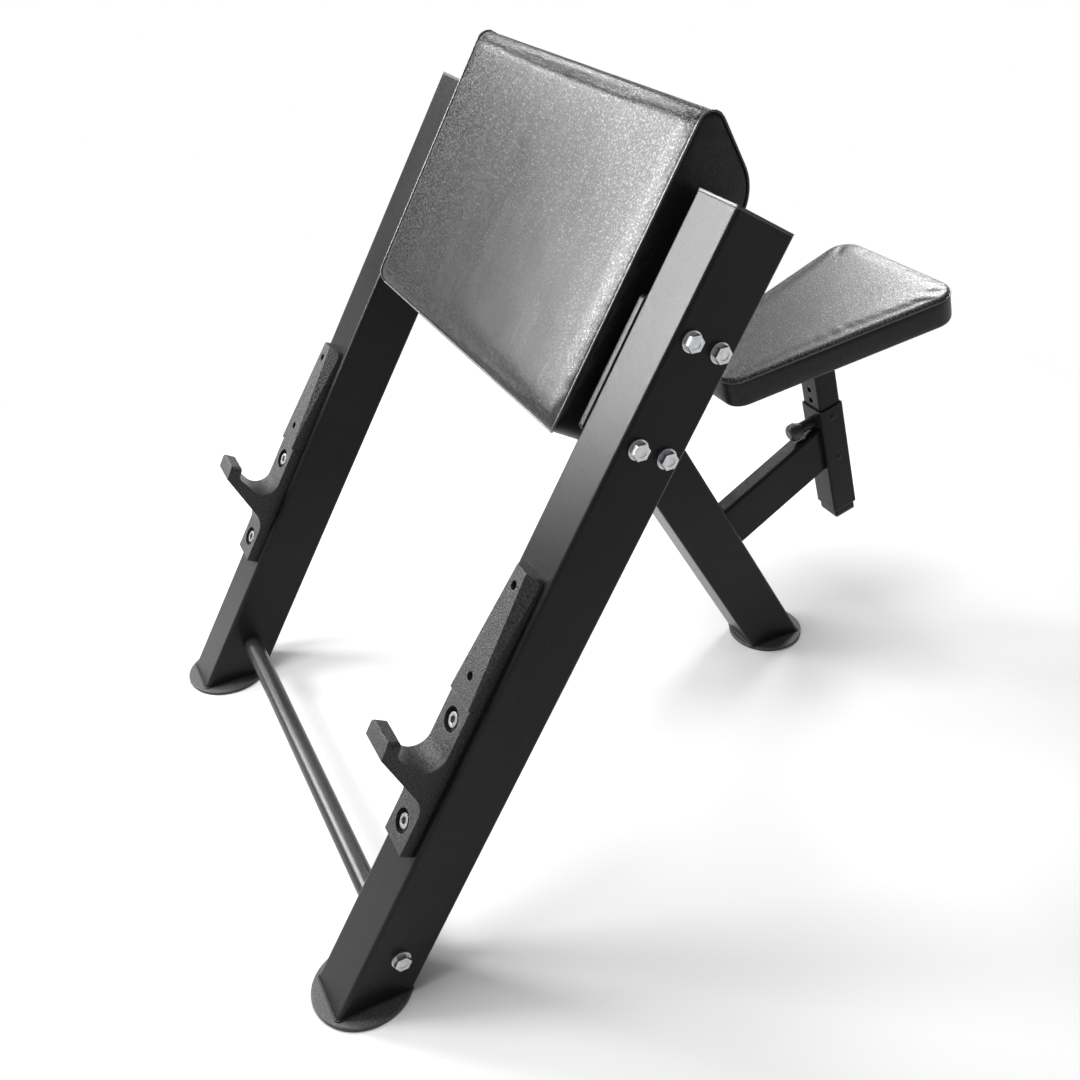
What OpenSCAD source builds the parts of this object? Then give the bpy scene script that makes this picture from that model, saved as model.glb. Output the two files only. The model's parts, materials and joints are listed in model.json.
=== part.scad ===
// Preacher bench: two leaning uprights with bar hooks, a padded arm rest
// between them, a rear leg, and a seat that slides on a post.
// +X is the right hand upright, +Y runs from the bar hooks to the seat, +Z is up.
// All lengths are in millimetres and all angles in degrees.

/* [Frame] */
// Width of an upright tube, side to side
upright_w = 75; // [64:1:84]
// Depth of an upright tube, front to back
upright_d = 83; // [72:1:90]
// Wall of the frame tubes
frame_wall = 3; // [2:0.5:4]
// Outer corner radius of the frame tubes
frame_r = 5; // [4.5:0.5:9]
// Length of an upright along its slope, from the floor to the top of its cap
upright_len = 1044; // [990:1:1100]
// Lean of the uprights and of the rear leg from the vertical
frame_lean = 30; // [28:1:32]
// Width of the rear leg tube
leg_w = 75; // [60:1:90]
// Depth of the rear leg tube
leg_d = 83; // [70:1:88]
// Floor distance between the front faces of the uprights and of the leg
leg_reach = 843; // [800:1:880]
// Thickness of the flange on an end cap
cap_t = 3; // [2:0.5:5]
// Depth of an end cap's skirt inside its tube
cap_skirt = 12; // [8:1:20]
// Gap between a cap's skirt and the tube
cap_gap = 0.3; // [0.2:0.1:0.6]

/* [Feet] */
// Diameter of a foot plate
foot_d = 124; // [118:1:140]
// Thickness of a foot plate
foot_h = 4; // [3:0.5:8]
// Inset of the rubber sole from the edge of its plate
sole_inset = 2; // [1:0.5:5]
// Thickness of the rubber sole
sole_h = 2; // [1.5:0.5:5]

/* [Crossbeam] */
// Height of the crossbeam along the slope
beam_h = 100; // [94:1:102]
// Depth of the crossbeam
beam_d = 40; // [34:1:44]
// Height of the end flange along the slope
flange_h = 158; // [152:1:170]
// Thickness of the end flange
flange_t = 8; // [6:0.5:10]
// Spacing of the flange bolts along the slope
bolt_pitch_s = 124; // [124:1:132]
// Spacing of the flange bolts across the upright
bolt_pitch_t = 40; // [30:1:46]

/* [Foot rod] */
// Diameter of the foot rod
rod_d = 28; // [20:1:32]
// Place of the foot rod along the slope
rod_s = 103; // [80:1:160]
// Place of the foot rod behind the front face of the uprights
rod_t = 43.5; // [30:0.5:50]
// Depth of the threaded hole in each end of the rod
rod_thread = 30; // [20:1:40]

/* [Fasteners] */
// Thread of the frame bolts
bolt_d = 12; // [10:1:12]
// Width across the flats of the frame bolt heads
bolt_af = 18; // [16:0.5:19]
// Height of a frame bolt head
bolt_head = 7.5; // [5:0.5:9]
// Diameter of a frame washer
washer_d = 24; // [22:0.5:27]
// Thickness of a frame washer
washer_t = 2.5; // [1.5:0.5:3]
// Height of a frame nut
nut_h = 9; // [7:0.5:10]
// Room round a bolt in its hole
bolt_gap = 0.4; // [0.2:0.1:0.8]
// Length of bolt that stands past its nut
bolt_tail = 2; // [1:0.5:3]
// Length of a frame bolt inside the rod
rod_grip = 24; // [15:1:28]

/* [Bar hooks] */
// Width of a bar hook
hook_w = 50; // [46:1:56]
// Thickness of the hook's back plate
hook_t = 15; // [13:0.5:20]
// Place of the hook's lower end along the slope
hook_s = 241; // [220:1:250]
// Length of the hook along the slope
hook_len = 197; // [190:1:205]
// Height of the cradle's middle above the hook's lower end
cradle_rise = 136; // [130:1:140]
// Inner radius of the cradle
cradle_r = 22; // [18:1:26]
// Slope of the arm's upper face above the square to the upright
arm_angle = 27; // [22:1:32]
// Length of the arm's upper face past the cradle
arm_run = 33; // [24:1:40]
// Slope of the arm's lower face
arm_under = 36; // [33:1:44]
// Slope of the hook's tip above the square to the upright
tip_angle = 88; // [82:1:92]
// Length of the tip's inner face
tip_rise = 17; // [14:1:20]
// Length of the tip's outer face
tip_side = 22; // [13:1:24]
// Thickness of the tip
tip_w = 17; // [14:1:18]
// Radius of the tip's corners seen from the front
tip_corner = 8; // [4:1:12]
// Edge radius of the tip
tip_r = 3; // [2:0.5:5]
// Radius of the blend between the arm and the lower plate
hook_blend = 35; // [28:1:38]
// Distance of the lower hook bolt from the lower end of the plate
hook_bolt_low = 31; // [24:1:33]
// Distance of the upper hook bolt from the upper end of the plate
hook_bolt_top = 26; // [23:1:30]
// Diameter of the hook's counterbores
hook_bore = 30; // [26:0.5:32]
// Depth of the hook's counterbores
hook_bore_h = 9; // [6:0.5:10]
// Length of a hook bolt below its head
hook_bolt_len = 25; // [18:1:40]
// Edge chamfer of the hooks and guards
hook_edge = 1.5; // [0.5:0.5:3]

/* [Guards] */
// Gap between a guard and the hook below it
guard_gap = 1.5; // [0.5:0.5:4]
// Length of a guard along the slope
guard_len = 168; // [120:1:200]
// Width of a guard on the upright
guard_w = 50; // [40:1:60]
// Width of a guard's face at its upper end
guard_w2 = 22; // [18:1:36]
// Thickness of a guard
guard_t = 18; // [14:0.5:22]
// Thickness that the slanted sides leave at the upper end
guard_rim = 4; // [2:0.5:6]
// Radius of a guard's upper corners
guard_r = 9; // [4:1:12]
// Distance of the lower guard screw from the guard's lower end
guard_screw_low = 30; // [16:1:36]
// Distance of the upper guard screw from the guard's upper end
guard_screw_top = 21; // [16:1:30]
// Diameter of the screw wells in a guard
guard_well = 11; // [10.5:0.5:13]
// Thread of the guard screws
guard_screw_d = 6; // [4:0.5:6]

/* [Arm pad] */
// Width of the arm pad
pad_w = 565; // [500:1:580]
// Gap between the arm pad and the flange on each side of it
pad_room = 18.5; // [12:0.5:30]
// Length of the arm pad along the slope
pad_len = 377; // [360:1:395]
// Distance from the crossbeam's middle down to the pad's lower edge
pad_drop = 103; // [94:1:114]
// Height of the pad's face in front of the uprights
pad_proud = 13; // [8:0.5:20]
// Rise of the pad's face in its middle
pad_crown = 5; // [1:0.5:8]
// Radius of the roll along the top of the pad
roll_r = 54; // [48:1:56]
// Depth from the pad's face to the middle of the roll
roll_t = 49.5; // [46:0.5:54]
// Radius over the pad's upper front edge
pad_top_r = 22; // [14:1:26]
// Radius of the pad's lower front edge
pad_low_r = 16; // [12:1:20]
// Radius of the pad's lower back edge
pad_back_r = 12; // [10:1:16]
// Draw-in of the pad's sides
pad_draw = 3; // [1:0.5:6]
// Thickness of the pad's board
board_t = 18; // [12:1:20]
// Inset of the board from the pad's sides
board_in = 14; // [12:1:24]
// Length of the pad's board along the slope
board_len = 290; // [240:1:300]
// Thread of the pad bolts
pad_bolt_d = 8; // [6:1:10]
// Spacing of the pad bolts, side to side
pad_bolt_x = 380; // [260:1:440]
// Spacing of the pad bolts along the slope
pad_bolt_s = 50; // [40:1:60]
// Length of a pad bolt inside the board
pad_bolt_grip = 14; // [8:1:15]

/* [Seat arm and sleeve] */
// Width of the seat arm
arm_w = 30; // [26:1:40]
// Depth of the seat arm
arm_d = 78; // [60:1:90]
// Height of the arm's top along the leg
arm_top = 271.5; // [240:0.5:300]
// Length of the arm along its top
arm_len = 207; // [180:1:240]
// Lean of the seat post from the vertical
seat_tilt = 15; // [10:1:20]
// Width of the sleeve
sleeve_w = 50; // [46:1:56]
// Depth of the sleeve
sleeve_d = 45; // [44:1:54]
// Length of the sleeve
sleeve_len = 202; // [180:1:230]
// Height of the sleeve's top above the top of the arm
sleeve_rise = 37; // [34:1:44]
// Wall of the sleeve
sleeve_wall = 2.5; // [2:0.5:3]
// Running gap round the post
post_gap = 0.5; // [0.4:0.1:0.8]
// Outer corner radius of the sleeve
sleeve_r = 4; // [3:0.5:6]
// Thread of the sleeve's set screws
set_d = 8; // [6:1:8]
// Place of the upper set screw below the sleeve's top
set_drop = 18; // [12:1:24]
// Spacing of the two set screws
set_pitch = 81; // [60:1:110]
// Length of a set screw outside the sleeve
set_head = 1.5; // [0.5:0.5:4]

/* [Post and pull pin] */
// Wall of the post
post_wall = 3; // [2:0.5:4]
// Corner radius of the post
post_r = 3.5; // [2:0.5:4]
// Length of the post with its plug
post_len = 330; // [310:1:345]
// Height of the seat's surface above the top of the arm
seat_rise = 205; // [200:1:215]
// Number of pin holes in the post
notches = 7; // [3:2:7]
// Spacing of the pin holes
notch = 20; // [16:1:20]
// Diameter of the pull pin
pin_d = 10; // [8:0.5:10]
// Running gap round the pin
pin_gap = 0.3; // [0.3:0.05:0.5]
// Travel of the pull pin
pin_pull = 8; // [6:0.5:8]
// Reach of the pin past the post's wall
pin_reach = 2; // [1:0.5:2.5]
// Outer diameter of the pin's barrel
barrel_d = 18; // [17:0.5:18.5]
// Length of the pin's barrel
barrel_len = 22; // [20:1:24]
// Bore of the barrel's spring chamber
barrel_bore = 14.5; // [14:0.5:15]
// End wall of the barrel
barrel_end = 3; // [2:0.5:4]
// Gap between the barrel and the top of the arm
barrel_gap = 1.5; // [1:0.5:2]
// Diameter of the collar on the pin
collar_d = 13.8; // [13:0.1:13.9]
// Thickness of the pin's collar
collar_t = 2; // [1.5:0.5:3]
// Wire of the pin's spring
wire_d = 1.2; // [1:0.1:1.3]
// Turns of the pin's spring
spring_turns = 4; // [3:1:4]
// Diameter of the knob
knob_d = 28; // [24:1:30]
// Length of the knob
knob_len = 24; // [22:1:32]
// Gap between the knob and the barrel
knob_gap = 2; // [1:0.5:6]
// Depth of the pin inside the knob
knob_grip = 14; // [8:1:18]

/* [Seat] */
// Width of the seat at its front
seat_front = 138; // [124:1:156]
// Width of the seat at its back
seat_back = 279; // [240:1:300]
// Length of the seat
seat_len = 373; // [340:1:390]
// Thickness of the seat at its edge, board included
seat_t = 50; // [44:1:60]
// Rise of the seat in its middle
seat_crown = 5; // [2:0.5:10]
// Corner radius at the front of the seat
seat_r1 = 30; // [24:1:36]
// Corner radius at the back of the seat
seat_r2 = 36; // [26:1:48]
// Draw-in of the seat's sides
seat_draw = 3; // [1:0.5:5]
// Offset of the seat's middle behind the middle of the post
seat_shift = -6; // [-12:0.5:4]
// Thickness of the seat's board
seat_board_t = 15; // [12:1:18]
// Inset of the board from the seat's edge
seat_board_in = 12; // [8:1:18]
// Width of the seat plate
plate_w = 100; // [90:1:106]
// Length of the seat plate
plate_len = 200; // [160:1:220]
// Thickness of the seat plate
plate_t = 6; // [4:0.5:10]
// Thread of the seat screws
seat_screw_d = 8; // [6:1:8]
// Distance of the seat screws from the ends of the plate
seat_screw_end = 22; // [16:1:34]
// Distance of the seat screws from the sides of the plate
seat_screw_side = 16; // [14:1:24]
// Length of a seat screw inside the board
seat_screw_grip = 11; // [8:1:11.5]

/* [Hidden] */
$fn = 48;
steel = [0.13, 0.13, 0.14];
deep = [0.08, 0.08, 0.09];
zinc = [0.72, 0.73, 0.75];
cast = [0.30, 0.30, 0.31];
vinyl = [0.22, 0.22, 0.23];
rubber = [0.05, 0.05, 0.05];
wood = [0.66, 0.52, 0.36];

floor_gap = foot_h + sole_h;
half_w = pad_w / 2 + pad_room + flange_t + upright_w / 2;
out_x = half_w + upright_w / 2;
in_x = half_w - upright_w / 2;
foot_y = upright_d / 2 / cos(frame_lean);
leg_foot_y = leg_reach + leg_d / 2 / cos(frame_lean);

// The leg's middle line, followed up to the back of the crossbeam
leg_y0 = leg_reach + cos(frame_lean) * leg_d / 2;
leg_z0 = sin(frame_lean) * leg_d / 2;
leg_t0 = leg_y0 * cos(frame_lean) - leg_z0 * sin(frame_lean);
leg_s0 = leg_y0 * sin(frame_lean) + leg_z0 * cos(frame_lean);
leg_run = (leg_t0 - upright_d) / sin(2 * frame_lean);
beam_s = leg_s0 + leg_run * cos(2 * frame_lean);

// Corner where the top of the seat arm meets the sleeve
arm_end = leg_d + arm_len;
seat_y0 = leg_reach - sin(frame_lean) * arm_top + cos(frame_lean) * arm_end;
seat_z0 = cos(frame_lean) * arm_top + sin(frame_lean) * arm_end;
post_w = sleeve_w - 2 * sleeve_wall - 2 * post_gap;
post_d = sleeve_d - 2 * sleeve_wall - 2 * post_gap;
seat_low = seat_rise - seat_t;
post_top = seat_low - plate_t;

// Draw-in and height of the seat's lip, which reaches furthest back
seat_lip_in = 0.3;
seat_lip_z = 6;

// The whole bench is centred over the middle of its length
seat_end_q = sleeve_d / 2 + seat_shift + seat_len / 2 - seat_lip_in;
back_y = seat_y0 + seat_end_q * cos(seat_tilt) - (seat_low + seat_lip_z) * sin(seat_tilt);
front_y = foot_y - foot_d / 2;
mid_y = (back_y + front_y) / 2;

// Tubes run this far past the plane that cuts them, and no piece is longer than far
run_past = 60;
far = 2000;

foot_edge = 0.8;
skirt_t = 2;
small_af = 13;
small_head = 5.5;
pad_s = beam_s - pad_drop;
pad_back = upright_d - beam_d;
board_front = pad_back - board_t;
hook_head_d = 18;
hook_head_h = 7;
guard_seat = 5;
well_h = guard_t - guard_seat;
guard_head_h = 6;
guard_screw_tail = 5;
plate_r = 12;
knob_edge = 3;
knob_dome = 8;
guard_s = hook_s + hook_len + guard_gap;
pin_z = barrel_d / 2 + barrel_gap;
pin_in = sleeve_wall + post_gap + post_wall + pin_reach;
collar_z = 0.6;
spring_z = collar_z + collar_t;
spring_len = barrel_len - barrel_end - spring_z;
spring_r = (pin_d / 2 + barrel_bore / 2) / 2;
knob_z = barrel_len + knob_gap;

// Places that the pieces are drawn in

// x across, y behind the front face of the uprights, z along their slope
module slope() translate([0, -mid_y, 0]) rotate([-frame_lean, 0, 0]) children();

// x across, y behind the lower face of the leg, z along the leg
module leg_place() translate([0, leg_reach - mid_y, 0]) rotate([frame_lean, 0, 0]) children();

// x across, y behind the front of the sleeve, z along the post from the arm's top
module post_place() translate([0, seat_y0 - mid_y, seat_z0]) rotate([seat_tilt, 0, 0]) children();

// z points out of the sleeve's front along the pull pin
module pin_place() post_place() translate([0, 0, pin_z]) rotate([90, 0, 0]) children();

// Everything above the foot plates
module above_feet() {
  intersection() {
    children();
    translate([-far, -far, floor_gap]) cube([2 * far, 2 * far, far]);
  }
}

// Shapes that repeat

module rounded(w, d, r) {
  square([w - 2 * r, d], center = true);
  square([w, d - 2 * r], center = true);
  for (x = [-1, 1], y = [-1, 1])
    translate([x * (w / 2 - r), y * (d / 2 - r)]) circle(r);
}

module tube(w, d, wall, r, len) {
  linear_extrude(len) difference() {
    rounded(w, d, r);
    rounded(w - 2 * wall, d - 2 * wall, max(r - wall, 0.5));
  }
}

module plug(w, d, wall, r) {
  iw = w - 2 * wall - 2 * cap_gap;
  id = d - 2 * wall - 2 * cap_gap;
  ir = max(r - wall - cap_gap, 0.5);
  linear_extrude(cap_t) rounded(w, d, r);
  translate([0, 0, -cap_skirt]) tube(iw, id, skirt_t, max(ir, 0.8), cap_skirt + 0.5);
}

module hex_head(af, h) cylinder(d = af / cos(30), h = h, $fn = 6);

module hex_bolt(d, len, af, h) {
  difference() {
    hex_head(af, h);
    translate([0, 0, h - 0.8]) cylinder(d = af * 0.6, h = 1);
  }
  translate([0, 0, -len]) cylinder(d = d, h = len + 0.5);
}

module socket_bolt(d, len, head, h) {
  difference() {
    cylinder(d = head, h = h);
    translate([0, 0, h / 2]) cylinder(d = head * 0.6, h = h, $fn = 6);
  }
  translate([0, 0, -len]) cylinder(d = d, h = len + 0.5);
}

module ring(d1, d0, h) {
  difference() {
    cylinder(d = d1, h = h);
    translate([0, 0, -1]) cylinder(d = d0, h = h + 2);
  }
}

// x points out of the upright on the given side, 1 for right and -1 for left
module outward(side) rotate([0, side * 90, 0]) children();

// Skin through closed rings of points, with a point that closes each end
module skin(rings, first, last) {
  n = len(rings[0]);
  m = len(rings);
  pts = concat([for (r = rings) each r], [first, last]);
  sides = [
    for (k = [0 : m - 2], i = [0 : n - 1]) let (
      a = k * n + i, b = k * n + (i + 1) % n, c = a + n, d = b + n
    ) each [[a, b, d], [a, d, c]]
  ];
  ends = [
    for (i = [0 : n - 1]) each [
      [m * n, (i + 1) % n, i],
      [m * n + 1, (m - 1) * n + i, (m - 1) * n + (i + 1) % n]
    ]
  ];
  polyhedron(pts, concat(sides, ends));
}

function arc(c, r, a0, a1, n) = [
  for (i = [0 : n]) let (a = a0 + (a1 - a0) * i / n) c + r * [cos(a), sin(a)]
];

// Uprights, end caps and feet

// Places of the four flange bolts, as depth and height on the slope
flange_bolts = [
  for (t = [-1, 1], s = [-1, 1])
    [upright_d / 2 + t * bolt_pitch_t / 2, beam_s + s * bolt_pitch_s / 2]
];
hook_bolt_at = [hook_bolt_low, hook_len - hook_bolt_top];
hook_bolt_s = [for (s = hook_bolt_at) hook_s + s];
guard_screw_at = [guard_screw_low, guard_len - guard_screw_top];
guard_screw_s = [for (s = guard_screw_at) guard_s + s];

module upright(side) {
  above_feet() slope() translate([side * half_w, 0, 0]) difference() {
    translate([0, upright_d / 2, -run_past])
      tube(upright_w, upright_d, frame_wall, frame_r, upright_len - cap_t + run_past);
    for (p = flange_bolts) translate([-upright_w, p[0], p[1]])
      rotate([0, 90, 0]) cylinder(d = bolt_d + 2 * bolt_gap, h = 2 * upright_w);
    translate([-upright_w, rod_t, rod_s])
      rotate([0, 90, 0]) cylinder(d = bolt_d + 2 * bolt_gap, h = 2 * upright_w);
    for (s = hook_bolt_s) translate([0, -1, s])
      rotate([-90, 0, 0]) cylinder(d = bolt_d + 2 * bolt_gap, h = frame_wall + 2);
    for (s = guard_screw_s) translate([0, -1, s])
      rotate([-90, 0, 0]) cylinder(d = guard_screw_d + 2 * bolt_gap, h = frame_wall + 2);
  }
}

module upright_left() color(steel) upright(-1);
module upright_right() color(steel) upright(1);

module cap(side) {
  slope() translate([side * half_w, upright_d / 2, upright_len - cap_t])
    plug(upright_w, upright_d, frame_wall, frame_r);
}
module cap_left() color(deep) cap(-1);
module cap_right() color(deep) cap(1);

module foot_plate(x, y) {
  translate([x, y - mid_y, sole_h]) rotate_extrude($fn = 96)
    polygon([[0, 0], [foot_d / 2, 0], [foot_d / 2, foot_h - foot_edge],
      [foot_d / 2 - foot_edge, foot_h], [0, foot_h]]);
}
module foot_plate_left() color(cast) foot_plate(-half_w, foot_y);
module foot_plate_right() color(cast) foot_plate(half_w, foot_y);
module foot_plate_rear() color(cast) foot_plate(0, leg_foot_y);

module sole(x, y) {
  translate([x, y - mid_y, 0]) cylinder(d = foot_d - 2 * sole_inset, h = sole_h, $fn = 96);
}
module sole_left() color(rubber) sole(-half_w, foot_y);
module sole_right() color(rubber) sole(half_w, foot_y);
module sole_rear() color(rubber) sole(0, leg_foot_y);

// Crossbeam and its bolts

pad_bolts_at = [
  for (x = [-1, 1], s = [-1, 1]) [x * pad_bolt_x / 2, beam_s + s * pad_bolt_s / 2]
];

module crossbeam() color(steel) {
  slope() difference() {
    translate([in_x - flange_t, upright_d - beam_d / 2, beam_s]) rotate([0, -90, 0])
      tube(beam_h, beam_d, frame_wall, frame_r, 2 * (in_x - flange_t));
    for (p = pad_bolts_at) translate([p[0], 0, p[1]])
      rotate([-90, 0, 0]) cylinder(d = pad_bolt_d + 2 * bolt_gap, h = 2 * upright_d);
  }
}

module flange(side) {
  slope() difference() {
    translate([side * (in_x - flange_t / 2), upright_d / 2, beam_s])
      rotate([0, 90, 0]) translate([0, 0, -flange_t / 2])
        linear_extrude(flange_t) rounded(flange_h, upright_d, frame_r);
    for (p = flange_bolts) translate([side * in_x, p[0], p[1]])
      rotate([0, 90, 0]) cylinder(d = bolt_d + 2 * bolt_gap, h = 4 * flange_t, center = true);
  }
}
module flange_left() color(steel) flange(-1);
module flange_right() color(steel) flange(1);

beam_bolt_len = washer_t + upright_w + flange_t + nut_h + bolt_tail;

module beam_bolts(side) {
  slope() for (p = flange_bolts) translate([side * (out_x + washer_t), p[0], p[1]])
    outward(side) hex_bolt(bolt_d, beam_bolt_len, bolt_af, bolt_head);
}
module beam_bolts_left() color(zinc) beam_bolts(-1);
module beam_bolts_right() color(zinc) beam_bolts(1);

module beam_washers(side) {
  slope() for (p = flange_bolts) translate([side * out_x, p[0], p[1]])
    outward(side) ring(washer_d, bolt_d + 2 * bolt_gap, washer_t);
}
module beam_washers_left() color(zinc) beam_washers(-1);
module beam_washers_right() color(zinc) beam_washers(1);

module beam_nuts(side) {
  slope() for (p = flange_bolts) translate([side * (in_x - flange_t), p[0], p[1]])
    outward(-side) difference() {
      hex_head(bolt_af, nut_h);
      translate([0, 0, -1]) cylinder(d = bolt_d + bolt_gap, h = nut_h + 2);
    }
}
module beam_nuts_left() color(zinc) beam_nuts(-1);
module beam_nuts_right() color(zinc) beam_nuts(1);

// Foot rod between the uprights

module foot_rod() color(cast) {
  slope() translate([0, rod_t, rod_s]) rotate([0, 90, 0]) difference() {
    translate([0, 0, -in_x]) cylinder(d = rod_d, h = 2 * in_x, $fn = 64);
    for (z = [-in_x - 1, in_x - rod_thread]) translate([0, 0, z])
      cylinder(d = bolt_d + bolt_gap, h = rod_thread + 1);
  }
}

module rod_bolt(side) {
  slope() translate([side * (out_x + washer_t), rod_t, rod_s]) outward(side)
    hex_bolt(bolt_d, washer_t + upright_w + rod_grip, bolt_af, bolt_head);
}
module rod_bolt_left() color(zinc) rod_bolt(-1);
module rod_bolt_right() color(zinc) rod_bolt(1);

module rod_washer(side) {
  slope() translate([side * out_x, rod_t, rod_s]) outward(side)
    ring(washer_d, bolt_d + 2 * bolt_gap, washer_t);
}
module rod_washer_left() color(zinc) rod_washer(-1);
module rod_washer_right() color(zinc) rod_washer(1);

// Bar hooks and the guards above them

// Side outline of a hook: depth behind the upright's face, height above its lower end
function along(a) = [-cos(a), sin(a)];
function below(a) = [-sin(a), -cos(a)];
cradle = [-hook_t - cradle_r, cradle_rise];
arm_corner = cradle + cradle_r * below(arm_angle) + arm_run * along(arm_angle);
tip_in = arm_corner + tip_rise * along(tip_angle);
tip_out = tip_in + tip_w * below(tip_angle);
tip_low = tip_out - tip_side * along(tip_angle);
blend_x = -hook_t - hook_blend;
blend_n = below(arm_under);
blend_z = (tip_low * blend_n + hook_blend - blend_x * blend_n[0]) / blend_n[1];
hook_side = concat(
  [[0, 0], [0, hook_len], [-hook_t + hook_edge, hook_len], [-hook_t, hook_len - hook_edge]],
  arc(cradle, cradle_r, 0, -90 - arm_angle, 12),
  [arm_corner - 4 * along(arm_angle), arm_corner + 3 * along(tip_angle)],
  arc(tip_in + tip_r * (below(tip_angle) - along(tip_angle)), tip_r, 90 - tip_angle, 180 - tip_angle, 4),
  arc(tip_out - tip_r * (below(tip_angle) + along(tip_angle)), tip_r, 180 - tip_angle, 270 - tip_angle, 4),
  [tip_low],
  arc([blend_x, blend_z], hook_blend, 90 - arm_under, 0, 8),
  [[-hook_t, hook_edge], [-hook_t + hook_edge, 0]]
);

module hook(side) {
  slope() translate([side * half_w, 0, hook_s]) difference() {
    translate([-hook_w / 2, 0, 0]) rotate([90, 0, 90])
      linear_extrude(hook_w) polygon(hook_side);
    for (s = hook_bolt_at) translate([0, 1, s])
      rotate([90, 0, 0]) {
        cylinder(d = bolt_d + 2 * bolt_gap, h = hook_t + 2);
        translate([0, 0, 1 + hook_t - hook_bore_h]) cylinder(d = hook_bore, h = 4 * hook_t);
      }
    for (m = [0, 1]) mirror([m, 0, 0])
      translate([hook_w / 2 - tip_corner, arm_corner[0] + tip_w, tip_in[1] - tip_corner])
        rotate([90, 0, 0]) linear_extrude(3 * tip_w) difference() {
          square(2 * tip_corner);
          circle(tip_corner);
        }
  }
}
module hook_left() color(cast) hook(-1);
module hook_right() color(cast) hook(1);

module hook_bolts(side) {
  slope() for (s = hook_bolt_s) translate([side * half_w, -hook_t + hook_bore_h, s])
    rotate([90, 0, 0]) socket_bolt(bolt_d, hook_bolt_len, hook_head_d, hook_head_h);
}
module hook_bolts_left() color(zinc) hook_bolts(-1);
module hook_bolts_right() color(zinc) hook_bolts(1);

// Front outline of a guard, and the slanted plane that narrows its face upwards
guard_top = [guard_w / 2 - guard_r, guard_len - guard_r];
guard_front = concat(
  [[-guard_w / 2, 0], [guard_w / 2, 0]],
  arc(guard_top, guard_r, 0, 90, 6),
  arc([-guard_top[0], guard_top[1]], guard_r, 90, 180, 6)
);
slant_a = [guard_w2 / 2 - guard_w / 2, 0, guard_len];
slant_b = [0, guard_t - guard_rim, guard_len];
slant_n = cross(slant_b, slant_a) / norm(cross(slant_b, slant_a));

module guard(side) {
  slope() translate([side * half_w, 0, guard_s]) difference() {
    rotate([90, 0, 0]) linear_extrude(guard_t) polygon(guard_front);
    for (m = [0, 1]) mirror([m, 0, 0]) translate([guard_w / 2, -guard_t, 0])
      rotate([0, acos(slant_n[2]), atan2(slant_n[1], slant_n[0])])
        translate([-far / 2, -far / 2, 0]) cube(far);
    for (s = guard_screw_at) translate([0, 1, s])
      rotate([90, 0, 0]) {
        cylinder(d = guard_screw_d + 2 * bolt_gap, h = guard_t + 2);
        translate([0, 0, 1 + guard_t - well_h]) cylinder(d = guard_well, h = guard_t);
      }
  }
}
module guard_left() color(cast) guard(-1);
module guard_right() color(cast) guard(1);

module guard_screws(side) {
  len = guard_seat + frame_wall + guard_screw_tail;
  slope() for (s = guard_screw_s) translate([side * half_w, -guard_seat, s])
    rotate([90, 0, 0]) socket_bolt(guard_screw_d, len, guard_well - 1, guard_head_h);
}
module guard_screws_left() color(zinc) guard_screws(-1);
module guard_screws_right() color(zinc) guard_screws(1);

// Arm pad with its board and bolts

// Side outline of the pad: depth on the slope, height along it, drawn in by e
pad_top = pad_s + pad_len;
top_angle = 55;
under_angle = -60;
top_norm = [cos(top_angle), sin(top_angle)];
under_norm = [cos(under_angle), sin(under_angle)];
top_c = [-pad_proud + pad_top_r, pad_top - pad_top_r];
roll_cx = -pad_proud + roll_t;
roll_c = [roll_cx, (top_c * top_norm + pad_top_r - roll_r - roll_cx * top_norm[0]) / top_norm[1]];
under_r = 20;
under_x = pad_back + under_r;
under_z = (roll_c * under_norm + roll_r + under_r - under_x * under_norm[0]) / under_norm[1];
low_c = [-pad_proud + pad_low_r, pad_s + pad_low_r];
back_c = [pad_back - pad_back_r, pad_s + pad_back_r];

function pad_outline(e) = concat(
  arc(back_c, pad_back_r - e, -90, 0, 3),
  arc([under_x, under_z], under_r + e, 180, 180 + under_angle, 4),
  arc(roll_c, roll_r - e, under_angle, top_angle, 11),
  arc(top_c, pad_top_r - e, top_angle, 180, 8),
  arc(low_c, pad_low_r - e, 180, 270, 4)
);

// Middle of the side, from where all of the outline can be seen
pad_eye = [roll_cx - 10, roll_c[1] - 30];

// Each row: distance from the side, draw-in of the outline, scale about its middle
pad_rows = [[pad_draw, 8, 0.7], [pad_draw / 2, 8, 0.97], [0, 5.5, 1], [0.8, 2.4, 1], [3, 0.4, 1],
  [5, 0, 1], [6.5, 1.4, 1], [8, 0, 1]];
pad_steps = 7;

function pad_ring(x, e, k) = [
  for (p = pad_outline(e)) let (
    q = pad_eye + k * (p - pad_eye),
    f = min(1, max(0, (pad_back - q[0]) / (pad_back + pad_proud))),
    c = pad_crown * (1 - pow(2 * x / pad_w, 2))
  ) [x, q[0] - c * f, q[1]]
];

pad_half = [for (r = pad_rows) [pad_w / 2 - r[0], r[1], r[2]]];
pad_inner = [
  for (i = [1 : 2 * pad_steps - 1]) [-1 + i / pad_steps, 0, 1]
];
pad_all = concat(
  [for (r = pad_half) [-r[0], r[1], r[2]]],
  [for (r = pad_inner) [r[0] * (pad_w / 2 - 8), r[1], r[2]]],
  [for (i = [len(pad_half) - 1 : -1 : 0]) pad_half[i]]
);
board_s = pad_s + board_in;

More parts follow.
